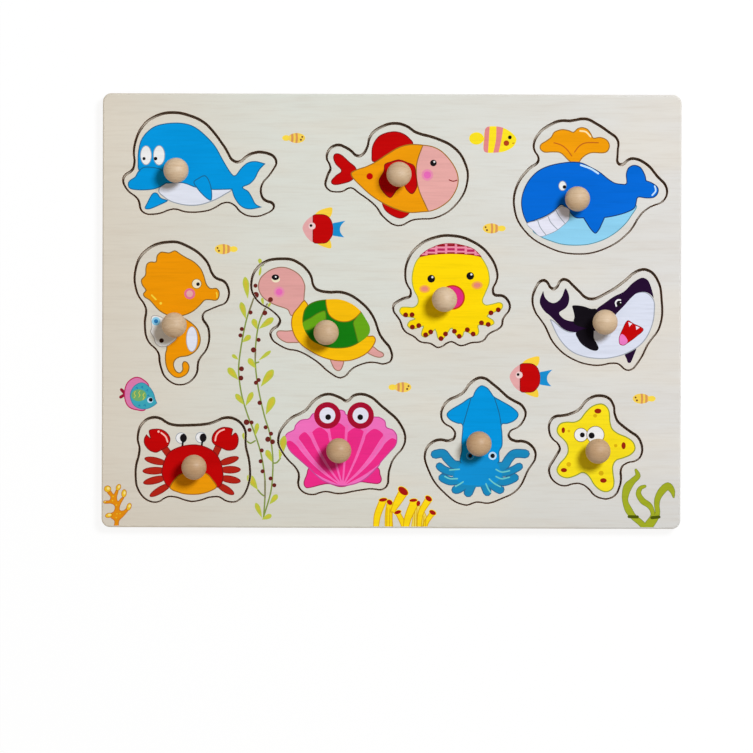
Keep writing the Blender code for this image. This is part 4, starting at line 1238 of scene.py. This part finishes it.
def turned_wood(name, base):
    """Bare turned wood of the knobs, with grain lines across the ball."""
    n = Nodes(name)
    wide = n.noise((40, 170, 60), 2.0)
    lines = n.noise((70, 1500, 500), 4.0)
    pores = n.noise((900, 4200, 2600), 2.0)
    ripe, line, pore = [
        tuple(c * share for c, share in zip(base, shares))
        for shares in ((0.95, 0.92, 0.88), (0.84, 0.77, 0.68), (0.72, 0.62, 0.53))
    ]
    colour = n.stain(base, wide, 0.35, 0.7, 1.0, ripe)
    colour = n.stain(colour, lines, 0.48, 0.75, 0.6, line)
    colour = n.stain(colour, pores, 0.58, 0.75, 0.5, pore)
    n.bump(lines, 0.25, 0.0002)
    return n.finish(colour, n.span(lines, 0.3, 0.7, 0.46, 0.6), 0.45)


def plated_steel(name):
    """Zinc-plated steel of the screws."""
    n = Nodes(name)
    streaks = n.noise((2500, 2500, 300), 3.0)
    n.shader.inputs["Metallic"].default_value = 1.0
    n.bump(streaks, 0.15, 0.0001)
    colour = n.stain((200, 202, 206), streaks, 0.3, 0.7, 1.0, (168, 170, 174))
    return n.finish(colour, n.span(streaks, 0.3, 0.7, 0.28, 0.45), 0.5)


MAKERS = {
    # Face woods: left, middle and right colours, the grain's dark colour (also the painted front shade at the
    # left), the painted front shade at the right, and the grain contrast.
    "bare": (face_wood, "sanded_plywood", (211, 203, 188), (210, 212, 203), (212, 210, 206), (196, 182, 164),
             (188, 190, 188), 0.4),
    "recess": (face_wood, "recess_plywood", (214, 200, 178), (216, 206, 186), (218, 208, 190),
               (190, 166, 136), (190, 166, 136), 0.8),
    "under": (face_wood, "underside_plywood", (210, 190, 160), (214, 196, 168), (214, 198, 172),
              (180, 148, 110), (180, 148, 110), 1.0),
    "edge": (edge_wood, "plywood_edge", (216, 196, 164), (182, 150, 112), PLY, (188, 160, 124)),
    "burnt": (edge_wood, "sawn_wall", (158, 112, 74), (126, 84, 52), PLY, (98, 62, 38)),
    "knob_pale": (turned_wood, "turned_wood_pale", (208, 184, 154)),
    "knob_middle": (turned_wood, "turned_wood_middle", (202, 176, 144)),
    "knob_brown": (turned_wood, "turned_wood_brown", (190, 158, 122)),
    "steel": (plated_steel, "screw_steel"),
}
KNOB_INKS = {
    **dict.fromkeys(("dolphin", "octopus", "orca"), "knob_pale"),
    **dict.fromkeys(("crab", "shell", "squid", "starfish"), "knob_brown"),
}
_made = {}


def material(ink):
    """The one material of each name."""
    if ink not in _made:
        maker, *values = MAKERS[ink] if ink in MAKERS else (printed_ink, f"ink_{ink}", INKS[ink])
        _made[ink] = maker(*values)
    return _made[ink]


def stand_for(piece, node, body):
    """The piece takes a CAD node's place."""
    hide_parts(node)
    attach(piece, body)


def knob_place(animal):
    """The middle of an animal's knob, in millimetres."""
    low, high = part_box(f"{animal}_knob")
    middle = (low + high) / 2 / MM
    return middle.x, middle.y


def make_top_plate(vines):
    """The printed plate with its eleven openings."""
    loops = rim_loops("top_plate")
    holes = sorted(loops, key=lambda loop: max(x for x, _ in loop) - min(x for x, _ in loop))[:-1]
    holes = [offset(loop, RIM_ROUNDING) for loop in holes]
    outer = rounded_rectangle(BOARD_LOW, BOARD_HIGH, CORNER_RADIUS, BOARD_ROUNDING)
    outer_rim = (round_over(BOARD_ROUNDING, BOARD_HIGH.z, BOARD_LOW.z), ["bare"] * 4 + ["edge"] * 2)
    opening_rim = (round_over(RIM_ROUNDING, BOARD_HIGH.z, BOARD_LOW.z), ["bare"] + ["burnt"] * 5)

    def rim_at(x, y):
        """The board's rounded edge near its outline, and the openings' small one elsewhere."""
        over_x = abs(x) - (BOARD_HIGH.x - CORNER_RADIUS)
        over_y = abs(y) - (BOARD_HIGH.y - CORNER_RADIUS)
        reach = math.hypot(over_x, over_y) if min(over_x, over_y) > 0 else max(over_x, over_y)
        return outer_rim if reach > CORNER_RADIUS - BOARD_ROUNDING - 0.3 else opening_rim

    shape = Shape()
    slab(shape, printed_face(outer, holes, draw_board() + vines, "bare"), rim_at)
    stand_for(shape.build("printed_plate"), "top_plate", "board")


def make_backing():
    """The thin plate under the animals, up to the glue line."""
    outer = rounded_rectangle(BACK_LOW, BACK_HIGH, CORNER_RADIUS, BACK_ROUNDING)
    rim = (round_over(BACK_ROUNDING, BOARD_LOW.z - GLUE_LINE, BACK_LOW.z), ["edge"] * 6)
    shape = Shape()
    slab(shape, printed_face(outer, [], [], "recess"), lambda x, y: rim)
    stand_for(shape.build("backing_board"), "backing_plate", "board")


WELL = ((3.15, 0), (3.15, 0.5), (1.5, 2.0), (1.5, 4.0))


def make_animal(animal, vines):
    """The sawn and printed piece, with a countersunk hole for its screw."""
    x, y = knob_place(animal)
    low, high = [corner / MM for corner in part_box(f"{animal}_piece")]
    outline = offset(rim_loops(f"{animal}_piece")[0], -RIM_ROUNDING)
    face = printed_face(outline, [], moved(ANIMALS[animal](), x, y) + vines, "bare")
    well = [(radius, low.z + height) for radius, height in WELL]
    shape = Shape()
    rim = (round_over(RIM_ROUNDING, high.z, low.z), ["bare"] + ["burnt"] * 5)
    slab(shape, face, lambda x, y: rim, wells=[(x, y, well)])
    stand_for(shape.build(f"printed_{animal}"), f"{animal}_piece", animal)


KNOB_FOOT = ((0, 0), (3.7, 0), (3.95, 0.12), (4.0, 0.35), (4.0, 0.9), (3.85, 1.15), (3.45, 1.3), (3.15, 1.6),
             (3.05, 2.1), (3.1, 2.6))
KNOB_SEGMENTS = 48
BALL_START = -58
BALL_STEPS = 28


def make_knob(animal):
    """A turned ball on a waisted neck and a foot that stands on the animal."""
    x, y = knob_place(animal)
    low, high = [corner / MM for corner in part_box(f"{animal}_knob")]
    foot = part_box(f"{animal}_piece")[1].z / MM
    ball = (high.x - low.x) / 2
    middle = high.z - ball
    profile = [(radius, foot + height) for radius, height in KNOB_FOOT]
    for k in range(BALL_STEPS):
        angle = math.radians(BALL_START + (90 - BALL_START) * k / BALL_STEPS)
        profile.append((ball * math.cos(angle), middle + ball * math.sin(angle)))
    profile.append((0, high.z))
    shape = Shape()
    lathe(shape, profile, x, y, KNOB_INKS.get(animal, "knob_middle"))
    stand_for(shape.build(f"turned_knob_{animal}"), f"{animal}_knob", animal)


SCREW_SEGMENTS = 24
CROSS_HALF = 0.42
CROSS_REACH = 1.7
CROSS_DEPTH = 1.1
CROSS_TAPER = 0.7
SCREW_HEAD = ((2.85, 0), (3.0, 0.12), (3.0, 0.5), (1.4, 1.8))
SCREW_TIP = ((1.05, -0.8), (0.3, 0))
THREAD_START = 1.95
THREAD_END = 1.0
THREAD_PITCH = 0.9
THREAD_STEP = 0.15
THREAD_ROOT = 1.12
THREAD_HEIGHT = 0.28


def thread_radius(height, k):
    """The screw's radius where its thread passes corner k of a ring."""
    phase = (height / THREAD_PITCH - k / SCREW_SEGMENTS) % 1.0
    return THREAD_ROOT + THREAD_HEIGHT * (1 - abs(2 * phase - 1))


def make_screw(animal):
    """A countersunk screw with a cross recess and a cut thread."""
    x, y = knob_place(animal)
    low, high = [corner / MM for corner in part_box(f"{animal}_screw")]
    bottom, top = low.z, high.z
    shape = Shape()
    a, r = CROSS_HALF, CROSS_REACH
    plus = [(a, -a), (r, -a), (r, a), (a, a), (a, r), (-a, r)]
    plus += [(-px, -py) for px, py in plus]
    floor = [(x + px * CROSS_TAPER, y + py * CROSS_TAPER, bottom + CROSS_DEPTH) for px, py in plus]
    plus = [(x + px, y + py) for px, py in plus]
    rim = [on_circle(x, y, SCREW_HEAD[0][0], k, SCREW_SEGMENTS) for k in range(SCREW_SEGMENTS)]
    verts, triangles = triangulate([rim, plus])
    middles = verts[np.array(triangles)].mean(1)
    kept = holds(middles, rim) & ~holds(middles, plus)
    for triangle, keep in zip(triangles, kept):
        if keep:
            shape.face(shape.add([(*verts[i], bottom) for i in triangle]), "steel")
    walls = [shape.add([(*p, bottom) for p in plus]), shape.add(floor)]
    shape.rings(walls, ["steel"], curved=False)
    shape.face(walls[-1], "steel")
    steps = [([radius] * SCREW_SEGMENTS, bottom + height) for radius, height in SCREW_HEAD]
    height = bottom + THREAD_START
    while height < top - THREAD_END:
        steps.append(([thread_radius(height, k) for k in range(SCREW_SEGMENTS)], height))
        height += THREAD_STEP
    steps += [([radius] * SCREW_SEGMENTS, top + height) for radius, height in SCREW_TIP]
    rings = []
    for radii, height in steps:
        corners = [(*on_circle(x, y, radius, k, SCREW_SEGMENTS), height) for k, radius in enumerate(radii)]
        rings.append(shape.add(corners))
    shape.rings(rings, ["steel"] * (len(rings) - 1))
    shape.face(rings[-1], "steel")
    stand_for(shape.build(f"cross_screw_{animal}"), f"{animal}_screw", animal)


FLOOR_GLOW = 0.9
FLOOR_HALF = 6.0
FLOOR_DROP = 0.0002


def seen_rays(nodes, links):
    """1 for a camera, glossy or transmission ray, and 0 for the light that falls on the object."""
    rays = nodes.new("ShaderNodeLightPath")
    share = rays.outputs["Is Camera Ray"]
    for kind in ("Is Glossy Ray", "Is Transmission Ray"):
        either = nodes.new("ShaderNodeMath")
        either.operation = "MAXIMUM"
        links.new(share, either.inputs[0])
        links.new(rays.outputs[kind], either.inputs[1])
        share = either.outputs[0]
    return share


def mixed(nodes, links, share, plain, other):
    """One shader turning into another with the share, which is a number or a socket."""
    mix = nodes.new("ShaderNodeMixShader")
    if isinstance(share, float):
        mix.inputs["Fac"].default_value = share
    else:
        links.new(share, mix.inputs["Fac"])
    links.new(plain.outputs[0], mix.inputs[1])
    links.new(other.outputs[0], mix.inputs[2])
    return mix


def make_floor():
    """A white floor that keeps a soft shadow and looks white to the camera."""
    mesh = bpy.data.meshes.new("floor")
    corners = [(sx * FLOOR_HALF, sy * FLOOR_HALF, 0) for sx, sy in ((-1, -1), (1, -1), (1, 1), (-1, 1))]
    mesh.from_pydata(corners, [], [(0, 1, 2, 3)])
    floor = bpy.data.objects.new("floor", mesh)
    floor.location.z = -FLOOR_DROP
    bpy.context.collection.objects.link(floor)
    white = bpy.data.materials.new("floor_white")
    white.use_nodes = True
    nodes, links = white.node_tree.nodes, white.node_tree.links
    nodes.clear()
    output = nodes.new("ShaderNodeOutputMaterial")
    diffuse = nodes.new("ShaderNodeBsdfDiffuse")
    diffuse.inputs["Color"].default_value = (1, 1, 1, 1)
    glow = nodes.new("ShaderNodeEmission")
    glow.inputs["Strength"].default_value = 1.0
    lit = mixed(nodes, links, FLOOR_GLOW, diffuse, glow)
    chosen = mixed(nodes, links, seen_rays(nodes, links), diffuse, lit)
    links.new(chosen.outputs[0], output.inputs["Surface"])
    mesh.materials.append(white)


KEY = {"way": (0.40, 0.355, 0.87), "distance": 2.6, "size": 0.75, "levels": (0.72, 0.76, 0.81)}
FILL = {"way": (-0.70, -0.58, 0.25), "distance": 2.4, "size": 3.0, "levels": (0.06, 0.055, 0.05)}
WORLD_LEVELS = (0.29, 0.25, 0.205)


def make_lamp(name, way, distance, size, levels):
    """A round area lamp that gives a level surface its levels of light."""
    way = Vector(way).normalized()
    data = bpy.data.lights.new(name, "AREA")
    data.shape = "DISK"
    data.size = size
    data.color = [level / max(levels) for level in levels]
    data.energy = max(levels) * math.pi ** 2 * distance ** 2 / way.z
    lamp = bpy.data.objects.new(name, data)
    lamp.location = way * distance
    lamp.rotation_euler = (-way).to_track_quat("-Z", "Y").to_euler()
    bpy.context.collection.objects.link(lamp)


def plain_background(nodes, colour):
    """A background of one colour and strength 1."""
    node = nodes.new("ShaderNodeBackground")
    node.inputs["Color"].default_value = (*colour, 1)
    node.inputs["Strength"].default_value = 1.0
    return node


def make_light():
    """A soft key light at the upper right and a low fill at the lower left, in an even, warm world."""
    make_lamp("key", **KEY)
    make_lamp("fill", **FILL)
    world = bpy.data.worlds.new("studio")
    bpy.context.scene.world = world
    world.use_nodes = True
    nodes, links = world.node_tree.nodes, world.node_tree.links
    nodes.clear()
    output = nodes.new("ShaderNodeOutputWorld")
    even = plain_background(nodes, WORLD_LEVELS)
    white = plain_background(nodes, (1, 1, 1))
    chosen = mixed(nodes, links, seen_rays(nodes, links), even, white)
    links.new(chosen.outputs[0], output.inputs["Surface"])


VIEW_WIDTH = 0.3903
CAMERA_HEIGHT = 3.0
SENSOR = 36.0
VIEW_MIDDLE = (-0.00771, -0.03397)
VIEW_TURN = 0.19


def make_camera():
    """Straight above the photograph's middle."""
    data = bpy.data.cameras.new("camera")
    data.sensor_width = SENSOR
    data.lens = SENSOR * CAMERA_HEIGHT / VIEW_WIDTH
    camera = bpy.data.objects.new("camera", data)
    camera.location = (*VIEW_MIDDLE, BOARD_HIGH.z * MM + CAMERA_HEIGHT)
    camera.rotation_euler = (0, 0, math.radians(VIEW_TURN))
    bpy.context.collection.objects.link(camera)
    bpy.context.scene.camera = camera


def main():
    """Builds every piece round the frame, then the stage."""
    vines = draw_vines()
    make_top_plate(vines)
    make_backing()
    for animal in ANIMALS:
        make_animal(animal, vines)
        make_knob(animal)
        make_screw(animal)
    make_floor()
    make_light()
    make_camera()
    bpy.context.scene.view_settings.view_transform = "Standard"


main()
